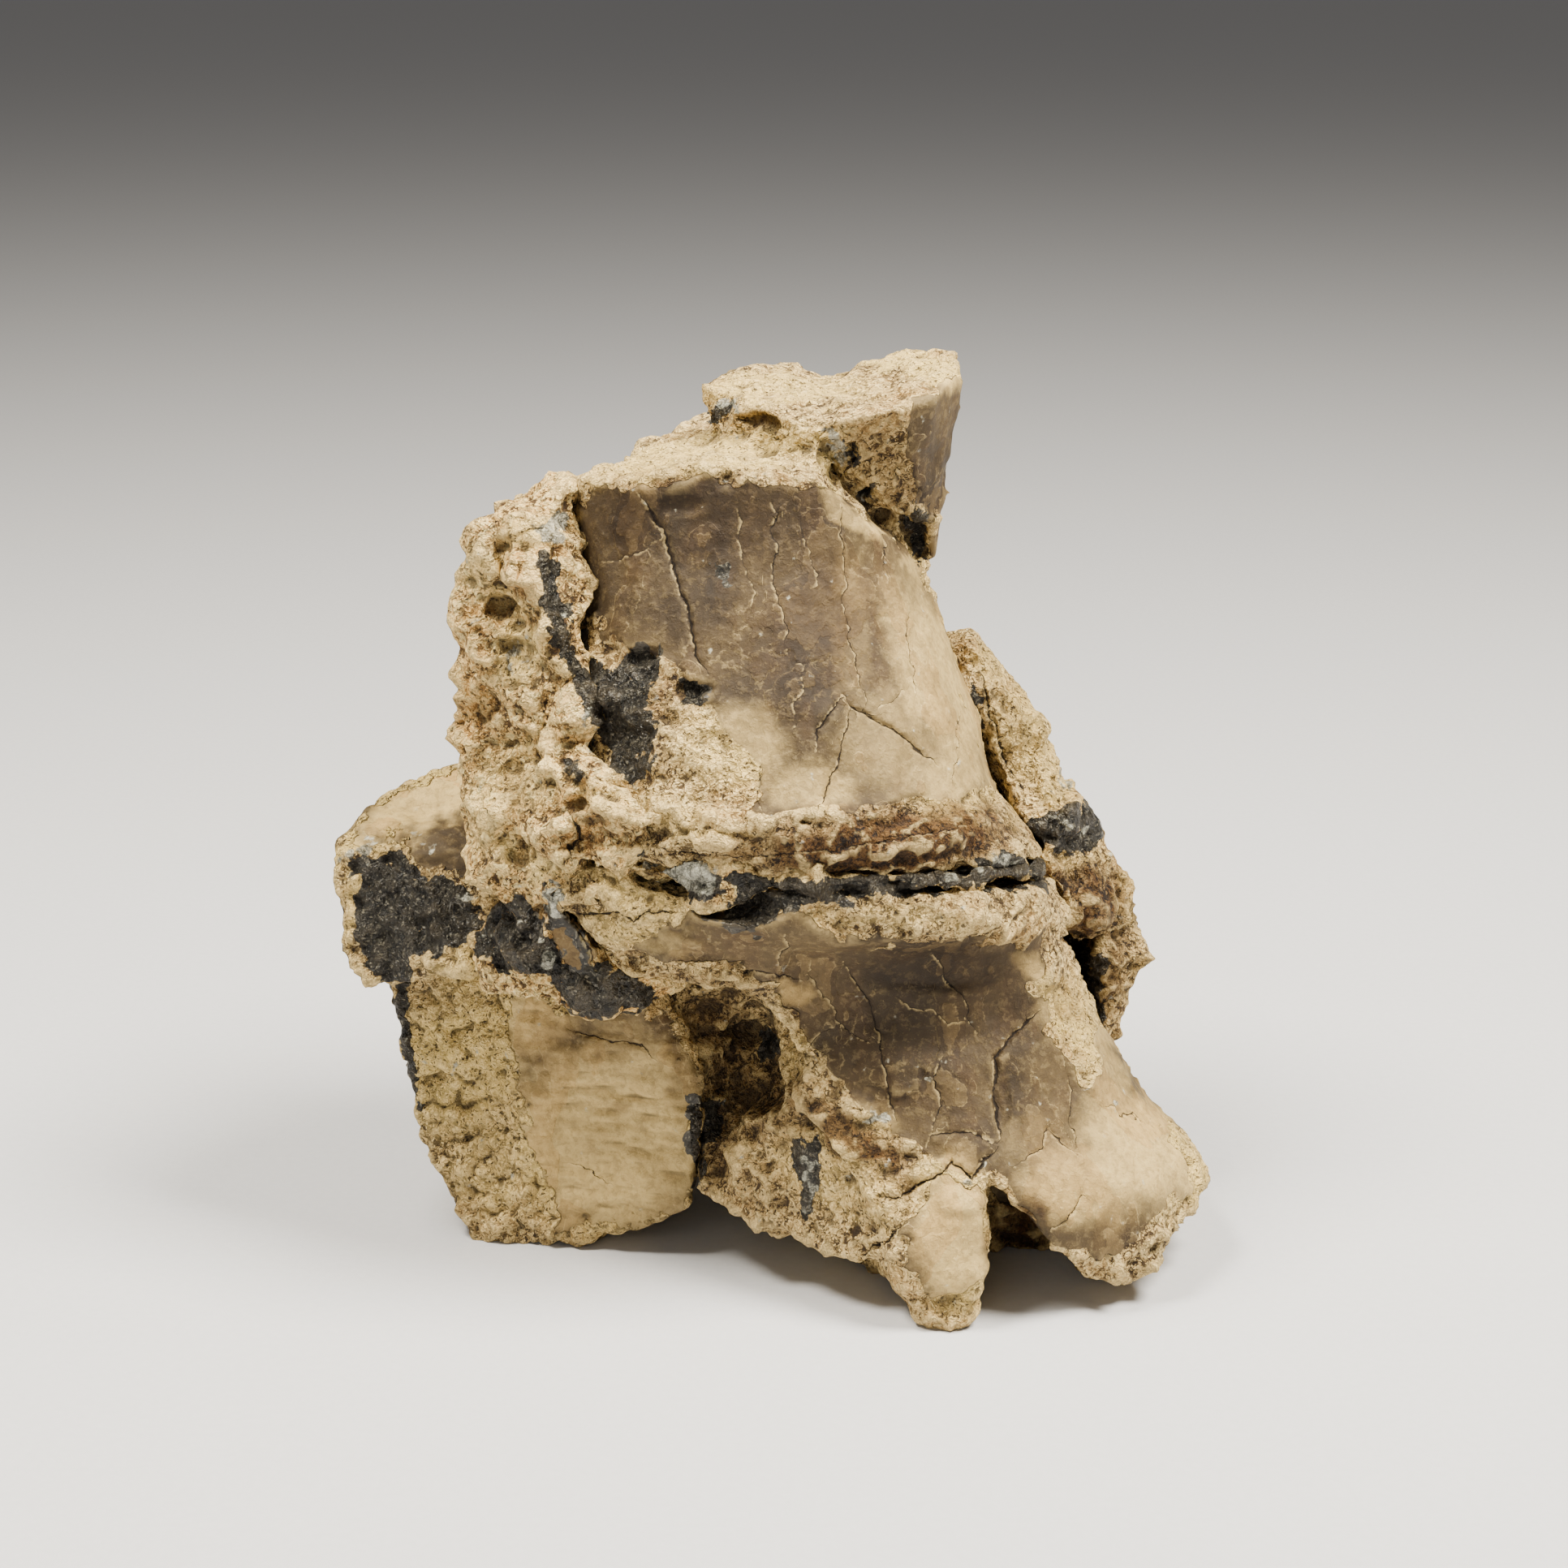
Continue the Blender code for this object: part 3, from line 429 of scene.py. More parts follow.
def scatter(cells, seed):
    """One steady number from 0 to 1 for each whole-numbered cell."""
    x, y, z = (cells[:, i].astype(np.int64).astype(np.uint32) for i in range(3))
    mixed = x * SCRAMBLE_X + y * SCRAMBLE_Y + z * SCRAMBLE_Z
    mixed = mixed + np.uint32(seed * SCRAMBLE_SEED % WHOLE_RANGE)
    mixed = (mixed ^ (mixed >> np.uint32(15))) * SCRAMBLE_Z
    mixed = (mixed ^ (mixed >> np.uint32(13))) * np.uint32(SCRAMBLE_SEED)
    return (mixed ^ (mixed >> np.uint32(16))) / float(WHOLE_RANGE)


def ripple(points, seed):
    """Smooth three-dimensional noise from about -1 to 1."""
    cells = np.floor(points)
    inside = points - cells
    ease = inside ** 3 * (inside * (inside * 6 - 15) + 10)
    total = np.zeros(len(points))
    for corner in np.ndindex(2, 2, 2):
        at = cells + corner
        away = inside - corner
        lean = sum(away[:, i] * (2 * scatter(at, seed + 17 * i) - 1) for i in range(3))
        share = np.prod(np.where(np.array(corner) == 1, ease, 1 - ease), axis=1)
        total += share * lean
    return total * 1.6


def cloud(points, size, seed, layers=3):
    """Layered noise whose broadest waves measure size, in mm."""
    total = np.zeros(len(points))
    for layer in range(layers):
        total += ripple(points * (2 ** layer / size) + 9.7 * layer, seed + layer) / 2 ** layer
    return total


def creased(points, size, seed, layers=2):
    """Layered noise folded into sharp crests, from about -1 to 0."""
    total = np.zeros(len(points))
    for layer in range(layers):
        wave = ripple(points * (2 ** layer / size) + 4.3 * layer, seed + layer)
        total -= np.abs(wave) / 2 ** layer
    return total


def ledges(points, size, steps, seed):
    """Layered noise cut into flat treads with steep risers between them."""
    level = steps * cloud(points, size, seed)
    tread = np.floor(level)
    return (tread + ease_between(0.60, 0.96, level - tread)) / steps


def scoops(points, size, seed):
    """Hollow chips about size wide that meet in sharp crests, and a number for each chip."""
    scaled = points / size
    cells = np.floor(scaled)
    lowest = np.full(len(points), 9.0)
    own = np.zeros(len(points))
    for step in np.ndindex(3, 3, 3):
        at = cells + np.array(step) - 1
        away = scaled - at - np.stack([scatter(at, seed + k) for k in range(3)], axis=1)
        lean = sum(away[:, i] * (scatter(at, seed + 5 + i) - 0.5) for i in range(3))
        height = 0.6 * (away ** 2).sum(axis=1) + 1.2 * lean + 0.25 * scatter(at, seed + 9)
        own = np.where(height < lowest, scatter(at, seed + 11), own)
        lowest = np.minimum(lowest, height)
    return lowest, own


def wander(points, size, seed, reach):
    """A push on the drawing plate that makes the edges drawn there ragged, in tenths."""
    return np.stack([cloud(points, size, seed), cloud(points, size, seed + 4)], axis=1) * reach


def ease_between(low, high, values):
    """0 up to the first limit and 1 from the second, easing between them."""
    t = np.clip((values - low) / (high - low), 0, 1)
    return t * t * (3 - 2 * t)


# ---------------------------------------------------------------- shapes on the drawing plate

def spot(plate, middle_x, middle_y, half_x, half_y, turn=0.0):
    """How far out of an oval each plate point lies: 0 at its middle, 1 on its rim."""
    x, y = plate[:, 0] - middle_x, plate[:, 1] - middle_y
    c, s = math.cos(math.radians(turn)), math.sin(math.radians(turn))
    return np.sqrt(((c * x + s * y) / half_x) ** 2 + ((c * y - s * x) / half_y) ** 2)


def from_line(plate, line):
    """Distance in plate tenths to a broken line."""
    best = np.full(len(plate), 1e9)
    for start, end in zip(line, line[1:]):
        a, along = np.array(start, float), np.array(end, float) - np.array(start, float)
        t = np.clip(((plate - a) @ along) / max(along @ along, 1e-9), 0, 1)
        best = np.minimum(best, np.linalg.norm(plate - a - t[:, None] * along, axis=1))
    return best


def beside_line(plate, line):
    """Signed distance in plate tenths to a broken line, and whether its ends lie beyond."""
    best = np.full(len(plate), 1e9)
    side = np.ones(len(plate))
    between = np.zeros(len(plate), bool)
    last = len(line) - 2
    for i, (start, end) in enumerate(zip(line, line[1:])):
        a, along = np.array(start, float), np.array(end, float) - np.array(start, float)
        reach = ((plate - a) @ along) / (along @ along)
        t = np.clip(reach, 0, 1)
        off = plate - a - t[:, None] * along
        away = np.linalg.norm(off, axis=1)
        nearer = away < best
        cross = along[0] * (plate[:, 1] - a[1]) - along[1] * (plate[:, 0] - a[0])
        inside = ((reach > 0) | (i > 0)) & ((reach < 1) | (i < last))
        best = np.where(nearer, away, best)
        side = np.where(nearer, np.sign(cross), side)
        between = np.where(nearer, inside, between)
    return best * side, between


def into_outline(plate, outline):
    """Distance in plate tenths into a closed outline, negative outside it."""
    x, y = plate[:, 0], plate[:, 1]
    inside = np.zeros(len(plate), bool)
    closed = outline + outline[:1]
    for (x0, y0), (x1, y1) in zip(closed, closed[1:]):
        crosses = (y0 > y) != (y1 > y)
        if y0 != y1:
            inside ^= crosses & (x < (x1 - x0) * (y - y0) / (y1 - y0) + x0)
    away = from_line(plate, closed)
    return np.where(inside, away, -away)


def outlined(plate, outlines, soft):
    """1 well inside any of the outlines, 0 well outside, with an edge soft tenths wide."""
    amount = np.zeros(len(plate))
    for outline in outlines:
        amount = np.maximum(amount, ease_between(-soft, soft, into_outline(plate, outline)))
    return amount


def spotted(plate, spots):
    """The strongest of the listed spots at each plate point, fading out past its rim."""
    amount = np.zeros(len(plate))
    for middle_x, middle_y, half_x, half_y, turn, strength in spots:
        away = spot(plate, middle_x, middle_y, half_x, half_y, turn)
        amount = np.maximum(amount, strength * ease_between(1.35, 0.55, away))
    return amount


# ---------------------------------------------------------------- one piece's surface

def settle(obj):
    """Makes the object's modifiers part of its mesh."""
    graph = bpy.context.evaluated_depsgraph_get()
    graph.update()
    mesh = bpy.data.meshes.new_from_object(obj.evaluated_get(graph))
    obj.modifiers.clear()
    obj.data = mesh


class Skin:
    """A fine copy of a CAD node, held as points in millimetres while it is worked."""

    def __init__(self, node, voxel):
        source = frame["nodes"][node]
        self.node = node
        self.obj = bpy.data.objects.new(node + "_skin", source.data.copy())
        bpy.context.scene.collection.objects.link(self.obj)
        fine = self.obj.modifiers.new("voxels", "REMESH")
        fine.mode = "VOXEL"
        fine.voxel_size = voxel * MM
        settle(self.obj)
        self.read()

    def read(self):
        """Takes the points and edges from the mesh."""
        mesh = self.obj.data
        flat = np.zeros(len(mesh.vertices) * 3, np.float32)
        mesh.vertices.foreach_get("co", flat)
        self.points = flat.reshape(-1, 3).astype(float) / MM
        pairs = np.zeros(len(mesh.edges) * 2, np.int32)
        mesh.edges.foreach_get("vertices", pairs)
        self.pairs = pairs.reshape(-1, 2)
        self.measure()

    def measure(self):
        """Normals, places on the plate and how squarely each point faces the front."""
        mesh = self.obj.data
        mesh.vertices.foreach_set("co", (self.points * MM).astype(np.float32).ravel())
        mesh.update()
        flat = np.zeros(len(mesh.vertices) * 3, np.float32)
        mesh.vertices.foreach_get("normal", flat)
        self.normals = flat.reshape(-1, 3).astype(float)
        self.plate = on_plate(self.points)
        eye = TARGET - FORWARD * DISTANCE
        toward = eye - self.points
        toward /= np.linalg.norm(toward, axis=1)[:, None]
        self.toward = toward
        self.facing = (self.normals * toward).sum(axis=1)

    def averaged(self, values, rounds, weight=0.5):
        """Values drawn towards their neighbours' mean, this many times."""
        a, b = self.pairs[:, 0], self.pairs[:, 1]
        count = np.bincount(self.pairs.ravel(), minlength=len(values)).astype(float)
        columns = values.reshape(len(values), -1)
        for _ in range(rounds):
            means = np.empty_like(columns)
            for i in range(columns.shape[1]):
                column = columns[:, i]
                sums = np.bincount(a, column[b], len(values)) + np.bincount(b, column[a], len(values))
                means[:, i] = sums / np.maximum(count, 1)
            columns = columns + weight * (means - columns)
        return columns.reshape(values.shape)

    def refine(self, wanted):
        """Splits the faces whose corners are all wanted."""
        mesh = self.obj.data
        bm = bmesh.new()
        bm.from_mesh(mesh)
        edges = set()
        for face in bm.faces:
            if all(wanted[corner.index] for corner in face.verts):
                edges.update(face.edges)
        bmesh.ops.subdivide_edges(bm, edges=list(edges), cuts=1, use_grid_fill=True)
        bm.to_mesh(mesh)
        bm.free()
        self.read()

    def keep(self, name, values):
        """Stores a number for each point under this name, for the materials."""
        attribute = self.obj.data.attributes.new(name, "FLOAT", "POINT")
        attribute.data.foreach_set("value", np.asarray(values, np.float32))


def on_plate(points):
    """Where each point lies on the drawing plate, in tenths right and down."""
    from_target = points - TARGET
    depth = DISTANCE + from_target @ FORWARD
    across = REACH * (from_target @ RIGHTWARD) / depth
    up = REACH * (from_target @ UPWARD) / depth
    return np.stack([PLATE / 2 + across, PLATE / 2 - up], axis=1)


# Cracks grow thinner over this length towards their ends, down to this share, and the paint
# that marks one reaches this far to its sides, in mm.
CRACK_TAPER = 2.5
CRACK_END = 0.3
CRACK_REACH = 1.2


def crack_marks(skin):
    """For each point: the depth of the cracks, how far it lies to the side of the nearest
    crack, and that crack's half-width, all in mm."""
    plate = skin.plate + wander(skin.points, 2.4, 71, 3.5) + wander(skin.points, 0.9, 73, 1.2)
    depth = np.zeros(len(plate))
    beside = np.full(len(plate), 3.0)
    width = np.zeros(len(plate))
    in_front = ease_between(-0.05, 0.15, skin.facing)
    for breadth, deep, line in CRACKS[skin.node]:
        away, between = beside_line(plate, line)
        away = away / TENTHS
        start = from_line(plate, [line[0], line[0]]) / TENTHS
        end = from_line(plate, [line[-1], line[-1]]) / TENTHS
        taper = np.clip(np.minimum(start, end) / CRACK_TAPER, CRACK_END, 1)
        half = 0.5 * breadth * taper
        here = np.clip(1.3 - np.abs(away) / (half + 0.12), 0, 1) * in_front
        depth = np.maximum(depth, deep * taper * here)
        nearer = np.abs(away) < np.abs(beside)
        beside = np.where(nearer, away, beside)
        shown = between & (np.abs(away) < CRACK_REACH) & (skin.facing > 0)
        width = np.where(nearer, half * shown, width)
    return depth, beside, width


def near_cracks(skin, within):
    """Which points lie this many mm from a crack or nearer."""
    away = np.full(len(skin.points), 1e9)
    for _, _, line in CRACKS[skin.node]:
        away = np.minimum(away, from_line(skin.plate, line) / TENTHS)
    return (away < within) & (skin.facing > 0.05)


def dent(skin):
    """Presses the listed dents in, and raises the knobs."""
    in_front = ease_between(-0.1, 0.2, skin.facing)
    for middle_x, middle_y, half_x, half_y, turn, deep in DENTS[skin.node]:
        away = spot(skin.plate, middle_x, middle_y, half_x, half_y, turn)
        share = ease_between(1.2, 0.5, away) * in_front
        skin.points -= (0.6 * skin.toward + 0.4 * skin.normals) * (share * deep)[:, None]
    skin.measure()


def roughen(skin, how):
    """Breaks the surface into ledges, chips, crumbs and pits where it isn't smooth wall."""
    smooth = smoothness(skin)
    rough = 1 - smooth
    points = skin.points
    flow = np.stack([cloud(points, 4.0, seed) for seed in (201, 205, 209)], axis=1)
    bedded = (points + 1.1 * flow) * (1.0, 1.0, 1.35)  # flatter than they are wide
    large, broad_tone = scoops(bedded, FLAKE, 21)
    small, tone = scoops(bedded, CHIP, 31)
    tiny, fine_tone = scoops(points + 0.4 * flow, CRUMB, 37)
    lively = 0.45 + 0.75 * ease_between(-0.35, 0.45, cloud(points, 11.0, 99))
    lively = lively * np.where(skin.normals[:, 2] > 0, 1 - 0.35 * skin.normals[:, 2], 1)
    move = how["broad"] * cloud(points, 9.0, 41)
    stepped = 6.0 * (large - EVEN) + 0.6 * ledges(bedded, FLAKE, 2.4, 45)
    move += how["flake"] * stepped * lively
    move += how["chip"] * 3.8 * (small - EVEN) * lively
    move -= how["lump"] * 4.0 * (scoops(points + 0.6 * flow, LUMP, 43)[0] - EVEN)
    creases = creased(points + 0.3 * flow, CHIP, 51)
    move += how["crumb"] * (3.0 * (tiny - EVEN) + 1.2 * creases + 0.4)
    holes = ease_between(-0.60, -0.95, creased(points, 3.4, 61) - 0.25 * flow[:, 0])
    move -= how["pit"] * 1.6 * holes
    move *= rough
    film = cloud(points * (1.0, 1.0, 0.55), 8.0, 95, layers=4)
    wall = 0.14 * cloud(points, 9.0, 91, layers=2)
    wall += 1.2 * (scoops(points + flow, FACET, 47)[0] - EVEN)
    wall += 0.08 * ease_between(0.10, 0.13, film)
    wall += 0.05 * ease_between(0.38, 0.41, film)
    wall += how["wrinkle"] * cloud(points * (0.45, 0.45, 1.6), 2.4, 97, layers=2)
    skin.points += skin.normals * (move + smooth * wall)[:, None]
    skin.measure()
    skin.keep("smooth", smooth)
    skin.keep("film", film)
    skin.keep("facets", 0.30 * broad_tone + 0.40 * tone + 0.30 * fine_tone)


def weathered_skin(node):
    """The node's fine surface, with its dents, broken faces, pores and cracks."""
    how = FINISH[node]
    skin = Skin(node, how["voxel"])
    skin.points = skin.averaged(skin.points, how["rounds"])
    skin.measure()
    skin.points += skin.normals * how["swell"]
    skin.measure()
    dent(skin)
    roughen(skin, how)
    skin.refine(near_cracks(skin, 0.5))
    depth, beside, width = crack_marks(skin)
    skin.points -= skin.normals * depth[:, None]
    skin.measure()
    keep_on_floor(skin)
    skin.keep("crack_side", beside)
    skin.keep("crack_width", width)
    paint(skin)
    return skin


def keep_on_floor(skin):
    """Flattens whatever the relief pushed below the floor."""
    skin.points[:, 2] = np.maximum(skin.points[:, 2], 0.0)
    skin.measure()


def smoothness(skin):
    """1 on the bone's own outer wall and 0 where it is broken."""
    plate = skin.plate + wander(skin.points, 6.0, 11, 16) + wander(skin.points, 1.8, 13, 4)
    front = outlined(plate, SMOOTH[skin.node], SOFT_EDGE[skin.node])
    wall = ease_between(-0.1, 0.25, cloud(skin.points, 30.0, 19)) * (skin.node != "rock_matrix")
    wall = wall * ease_between(0.75, 0.45, np.abs(skin.normals[:, 2]))
    in_front = ease_between(-0.35, -0.10, skin.facing)
    return front * in_front + wall * (1 - in_front)


def paint(skin):
    """Stores the amounts that the materials read."""
    points = skin.points
    plate = skin.plate + wander(points, 4.0, 101, 13) + wander(points, 1.5, 103, 5)
    in_front = ease_between(-0.1, 0.1, skin.facing)
    flecks = 0.5 * cloud(points, 1.4, 151, layers=2)
    drawn = {
        "black": 0.9 * outlined(plate, BLACK[skin.node], 6),
        "brown": spotted(plate, BROWN[skin.node]),
        "pale": spotted(plate, PALE[skin.node]),
        "crystal": spotted(plate, CRYSTAL[skin.node]) + flecks,
    }
    # Painted shade: brown on the low parts towards the back, where the fossil shades itself.
    far_back = ease_between(2.0, 14.0, points[:, 1])
    low_down = ease_between(24.0, 12.0, points[:, 2])
    drawn["brown"] = np.maximum(drawn["brown"], far_back * low_down)
    for name, (size, seed, rarity) in BEHIND.items():
        behind = 0.7 * ease_between(0.0, 0.35, cloud(points, size, seed) - rarity)
        skin.keep(name, drawn[name] * in_front + behind * (1 - in_front))
    skin.keep("clouds", 0.5 + 0.7 * cloud(points, 10.0, 161, layers=4))
    skin.keep("streaks", 0.5 + 0.8 * cloud(points * (0.55, 0.55, 0.09), 1.6, 171, layers=3))
    mean = skin.averaged(points, 12)
    hollow = ((mean - points) * skin.normals).sum(axis=1)
    skin.keep("hollow", np.clip(hollow / DEEP, -1, 1))


# ---------------------------------------------------------------- wiring of the materials

def tint(red, green, blue):
    """A colour given as it looks, from 0 to 255, as light."""
    values = [c / 255 for c in (red, green, blue)]
    return [v / 12.92 if v <= 0.04045 else ((v + 0.055) / 1.055) ** 2.4 for v in values] + [1.0]


def put(tree, kind, inputs=None, **settings):
    """Adds a node with these settings; an input is a number, a colour or another socket."""
    node = tree.nodes.new(kind)
    for name, value in settings.items():
        setattr(node, name, value)
    for name, value in (inputs or {}).items():
        if isinstance(value, bpy.types.NodeSocket):
            tree.links.new(value, node.inputs[name])
        else:
            node.inputs[name].default_value = value
    return node


def reckon(tree, operation, a, b=0.0):
    """One step of arithmetic on two values."""
    return put(tree, "ShaderNodeMath", {0: a, 1: b}, operation=operation).outputs[0]


def arrow(tree, operation, a, b):
    """Arithmetic on two places or directions."""
    return put(tree, "ShaderNodeVectorMath", {0: a, 1: b}, operation=operation).outputs[0]


def spread(tree, value, low, high, to_low=0.0, to_high=1.0):
    """Eases a value from between two limits to between two others."""
    inputs = {0: value, 1: low, 2: high, 3: to_low, 4: to_high}
    node = put(tree, "ShaderNodeMapRange", inputs, interpolation_type="SMOOTHSTEP")
    return node.outputs[0]


def stain(tree, share, under, over, mode="MIX"):
    """Lays one colour over another by this share."""
    node = put(tree, "ShaderNodeMix", data_type="RGBA", blend_type=mode)
    for index, value in ((0, share), (6, under), (7, over)):
        if isinstance(value, bpy.types.NodeSocket):
            tree.links.new(value, node.inputs[index])
        else:
            node.inputs[index].default_value = value
    return node.outputs[2]


def total(tree, *parts):
    """The sum of values, each given with its share."""
    whole = None
    for value, share in parts:
        part = reckon(tree, "MULTIPLY", value, share)
        whole = part if whole is None else reckon(tree, "ADD", whole, part)
    return whole


def times(tree, a, b):
    """The product of two values."""
    return reckon(tree, "MULTIPLY", a, b)


def layered(tree, look, colour, layers):
    """Lays the look's named colours over a colour, each by its share."""
    for share, name in layers:
        colour = stain(tree, share, colour, tint(*look[name]))
    return colour


def group(name, inputs, outputs):
    """An empty node group with these sockets, and its two end nodes."""
    tree = bpy.data.node_groups.new(name, "ShaderNodeTree")
    for socket, kind, value in inputs:
        made = tree.interface.new_socket(socket, in_out="INPUT", socket_type="NodeSocket" + kind)
        if value is not None:
            made.default_value = value
    for socket in outputs:
        tree.interface.new_socket(socket, in_out="OUTPUT", socket_type="NodeSocketFloat")
    return tree, tree.nodes.new("NodeGroupInput").outputs, tree.nodes.new("NodeGroupOutput").inputs


# Waves of the grain's clouds in a millimetre, how far they bend its chips, in mm, and how many
# crumbs lie along a chip.
CLOUDS_PER_MM = 0.9
CHIP_WARP = 1.8
CRUMBS_PER_CHIP = 3.3


def stone_grain():
    """Chips and grit of broken stone: height in mm, and tone, glints, specks and blur from
    about 0 to 1."""
    sockets = [("Place", "Vector", None), ("Chip size", "Float", 0.9)]
    outputs = ["Height", "Tone", "Glints", "Specks", "Blur"]
    tree, ins, outs = group("Stone grain", sockets, outputs)
    inputs = {"Vector": ins["Place"], "Scale": CLOUDS_PER_MM, "Detail": 3.5, "Roughness": 0.52}
    cloudy = put(tree, "ShaderNodeTexNoise", inputs)
    blur = cloudy.outputs[0]
    push = arrow(tree, "SUBTRACT", cloudy.outputs[1], (0.5,) * 3)
    push = arrow(tree, "MULTIPLY", push, (CHIP_WARP,) * 3)
    bent = arrow(tree, "ADD", ins["Place"], push)
    chips_per_mm = reckon(tree, "DIVIDE", 1.0, ins["Chip size"])
    chips = put(tree, "ShaderNodeTexVoronoi", {"Vector": bent, "Scale": chips_per_mm})
    crumbs_per_mm = reckon(tree, "MULTIPLY", chips_per_mm, CRUMBS_PER_CHIP)
    crumbs = put(tree, "ShaderNodeTexVoronoi", {"Vector": bent, "Scale": crumbs_per_mm})
    chip = put(tree, "ShaderNodeSeparateColor", {0: chips.outputs[1]}).outputs
    crumb = put(tree, "ShaderNodeSeparateColor", {0: crumbs.outputs[1]}).outputs
    ridge = reckon(tree, "ABSOLUTE", reckon(tree, "SUBTRACT", blur, 0.5))
    away = arrow(tree, "SUBTRACT", bent, chips.outputs["Position"])
    lean = arrow(tree, "SUBTRACT", chips.outputs[1], (0.5,) * 3)
    facet = put(tree, "ShaderNodeVectorMath", {0: away, 1: lean}, operation="DOT_PRODUCT").outputs[1]
    height = total(
        tree, (facet, 0.55), (chips.outputs[0], 0.12), (chip[0], 0.10), (crumbs.outputs[0], 0.08),
        (crumb[0], 0.07), (blur, 0.60), (ridge, 0.5),
    )
    tone = total(
        tree, (chip[1], 0.28), (crumb[1], 0.32), (blur, 1.2), (ridge, 0.9),
        (chips.outputs[0], -0.30), (crumbs.outputs[0], -0.40), (facet, 0.6),
    )
    tree.links.new(height, outs["Height"])
    tree.links.new(spread(tree, tone, 0.20, 0.98), outs["Tone"])
    tree.links.new(spread(tree, crumb[2], 0.88, 0.93), outs["Glints"])
    tree.links.new(spread(tree, crumb[2], 0.14, 0.08), outs["Specks"])
    tree.links.new(blur, outs["Blur"])
    return tree


def crisp_patch():
    """Turns a softly painted amount into a patch with a crisp, slightly ragged edge."""
    sockets = [("Amount", "Float", 0.0), ("Blur", "Float", 0.5), ("Ragged", "Float", 0.4)]
    sockets += [("Edge", "Float", 0.1)]
    tree, ins, outs = group("Crisp patch", sockets, ["Patch"])
    wobble = reckon(tree, "SUBTRACT", ins["Blur"], 0.5)
    value = reckon(tree, "ADD", ins["Amount"], reckon(tree, "MULTIPLY", wobble, ins["Ragged"]))
    low = reckon(tree, "SUBTRACT", 0.5, ins["Edge"])
    high = reckon(tree, "ADD", 0.5, ins["Edge"])
    tree.links.new(spread(tree, value, low, high), outs["Patch"])
    return tree


def peeling_film():
    """Thin films flaked off the bone wall, and the pale rims of their flakes."""
    sockets = [("Level", "Float", 0.0), ("Blur", "Float", 0.5)]
    tree, ins, outs = group("Peeling film", sockets, ["Upper film", "Lower film", "Rims"])
    wobble = reckon(tree, "MULTIPLY", reckon(tree, "SUBTRACT", ins["Blur"], 0.5), 0.35)
    level = reckon(tree, "ADD", ins["Level"], wobble)
    shown = spread(tree, ins["Blur"], 0.42, 0.56)
    rims = None
    for edge, name in ((0.12, "Upper film"), (0.40, "Lower film")):
        tree.links.new(spread(tree, level, edge - 0.015, edge + 0.015), outs[name])
        off = reckon(tree, "ABSOLUTE", reckon(tree, "SUBTRACT", level, edge))
        rim = spread(tree, off, 0.030, 0.008)
        rims = rim if rims is None else reckon(tree, "MAXIMUM", rims, rim)
    tree.links.new(reckon(tree, "MULTIPLY", rims, shown), outs["Rims"])
    return tree


def crack_lines():
    """A crack's dark line and the pale lip on one side of it, from how far to its side a
    place lies and from its half-width, in mm."""
    sockets = [("Side", "Float", 3.0), ("Width", "Float", 0.0), ("Blur", "Float", 0.5)]
    tree, ins, outs = group("Crack lines", sockets, ["Line", "Lip"])
    jitter = reckon(tree, "MULTIPLY", reckon(tree, "SUBTRACT", ins["Blur"], 0.5), 0.9)
    side = reckon(tree, "ADD", ins["Side"], jitter)
    there = spread(tree, ins["Width"], 0.004, 0.03)
    narrow = reckon(tree, "MULTIPLY", ins["Width"], 0.4)
    line = spread(tree, reckon(tree, "ABSOLUTE", side), ins["Width"], narrow)
    tree.links.new(reckon(tree, "MULTIPLY", line, there), outs["Line"])
    over = reckon(tree, "SUBTRACT", side, ins["Width"])
    lip = reckon(tree, "MULTIPLY", spread(tree, over, 0.0, 0.05), spread(tree, over, 0.40, 0.08))
    some = spread(tree, ins["Blur"], 0.46, 0.54)
    tree.links.new(reckon(tree, "MULTIPLY", reckon(tree, "MULTIPLY", lip, some), there), outs["Lip"])
    return tree


def use(tree, kit, name, **inputs):
    """Adds a node group, its sockets set by name, with _ for a space."""
    node = put(tree, "ShaderNodeGroup", node_tree=kit[name])
    for socket, value in inputs.items():
        socket = socket.replace("_", " ")
        if isinstance(value, bpy.types.NodeSocket):
            tree.links.new(value, node.inputs[socket])
        else:
            node.inputs[socket].default_value = value
    return node.outputs


def painted(tree, name):
    """An amount stored on the skin's points."""
    return put(tree, "ShaderNodeAttribute", attribute_name=name).outputs["Fac"]


def grey(value):
    """A plain value as a colour, so that it can be laid over another."""
    return [value, value, value, 1.0]


# How ragged and how wide the edge of each painted patch is.
PATCH_EDGES = (("smooth", 1.0, 0.09), ("black", 1.7, 0.06), ("crystal", 0.8, 0.12))
DULLNESS = {"broken face": 0.88, "bone wall": 0.70, "ore": 0.32, "crystal": 0.25, "crack": 0.90}
FINISHES = (("smooth", "bone wall"), ("black", "ore"), ("crystal", "crystal"), ("Line", "crack"))
ORE_BLACK = (18, 17, 15)
ORE_GREY = (60, 56, 48)
# Painted light: the ore's glints, and its edges paler with wear and a highlight.
ORE_GLINT = (128, 122, 106)
ORE_EDGE = (96, 84, 64)
CRYSTAL_DARK = (84, 84, 76)
CRYSTAL_PALE = (196, 194, 176)
CRACK_DARK = (30, 23, 18)
WALL_MOTTLE = (176, 164, 144)
WALL_WORN = (190, 176, 150)


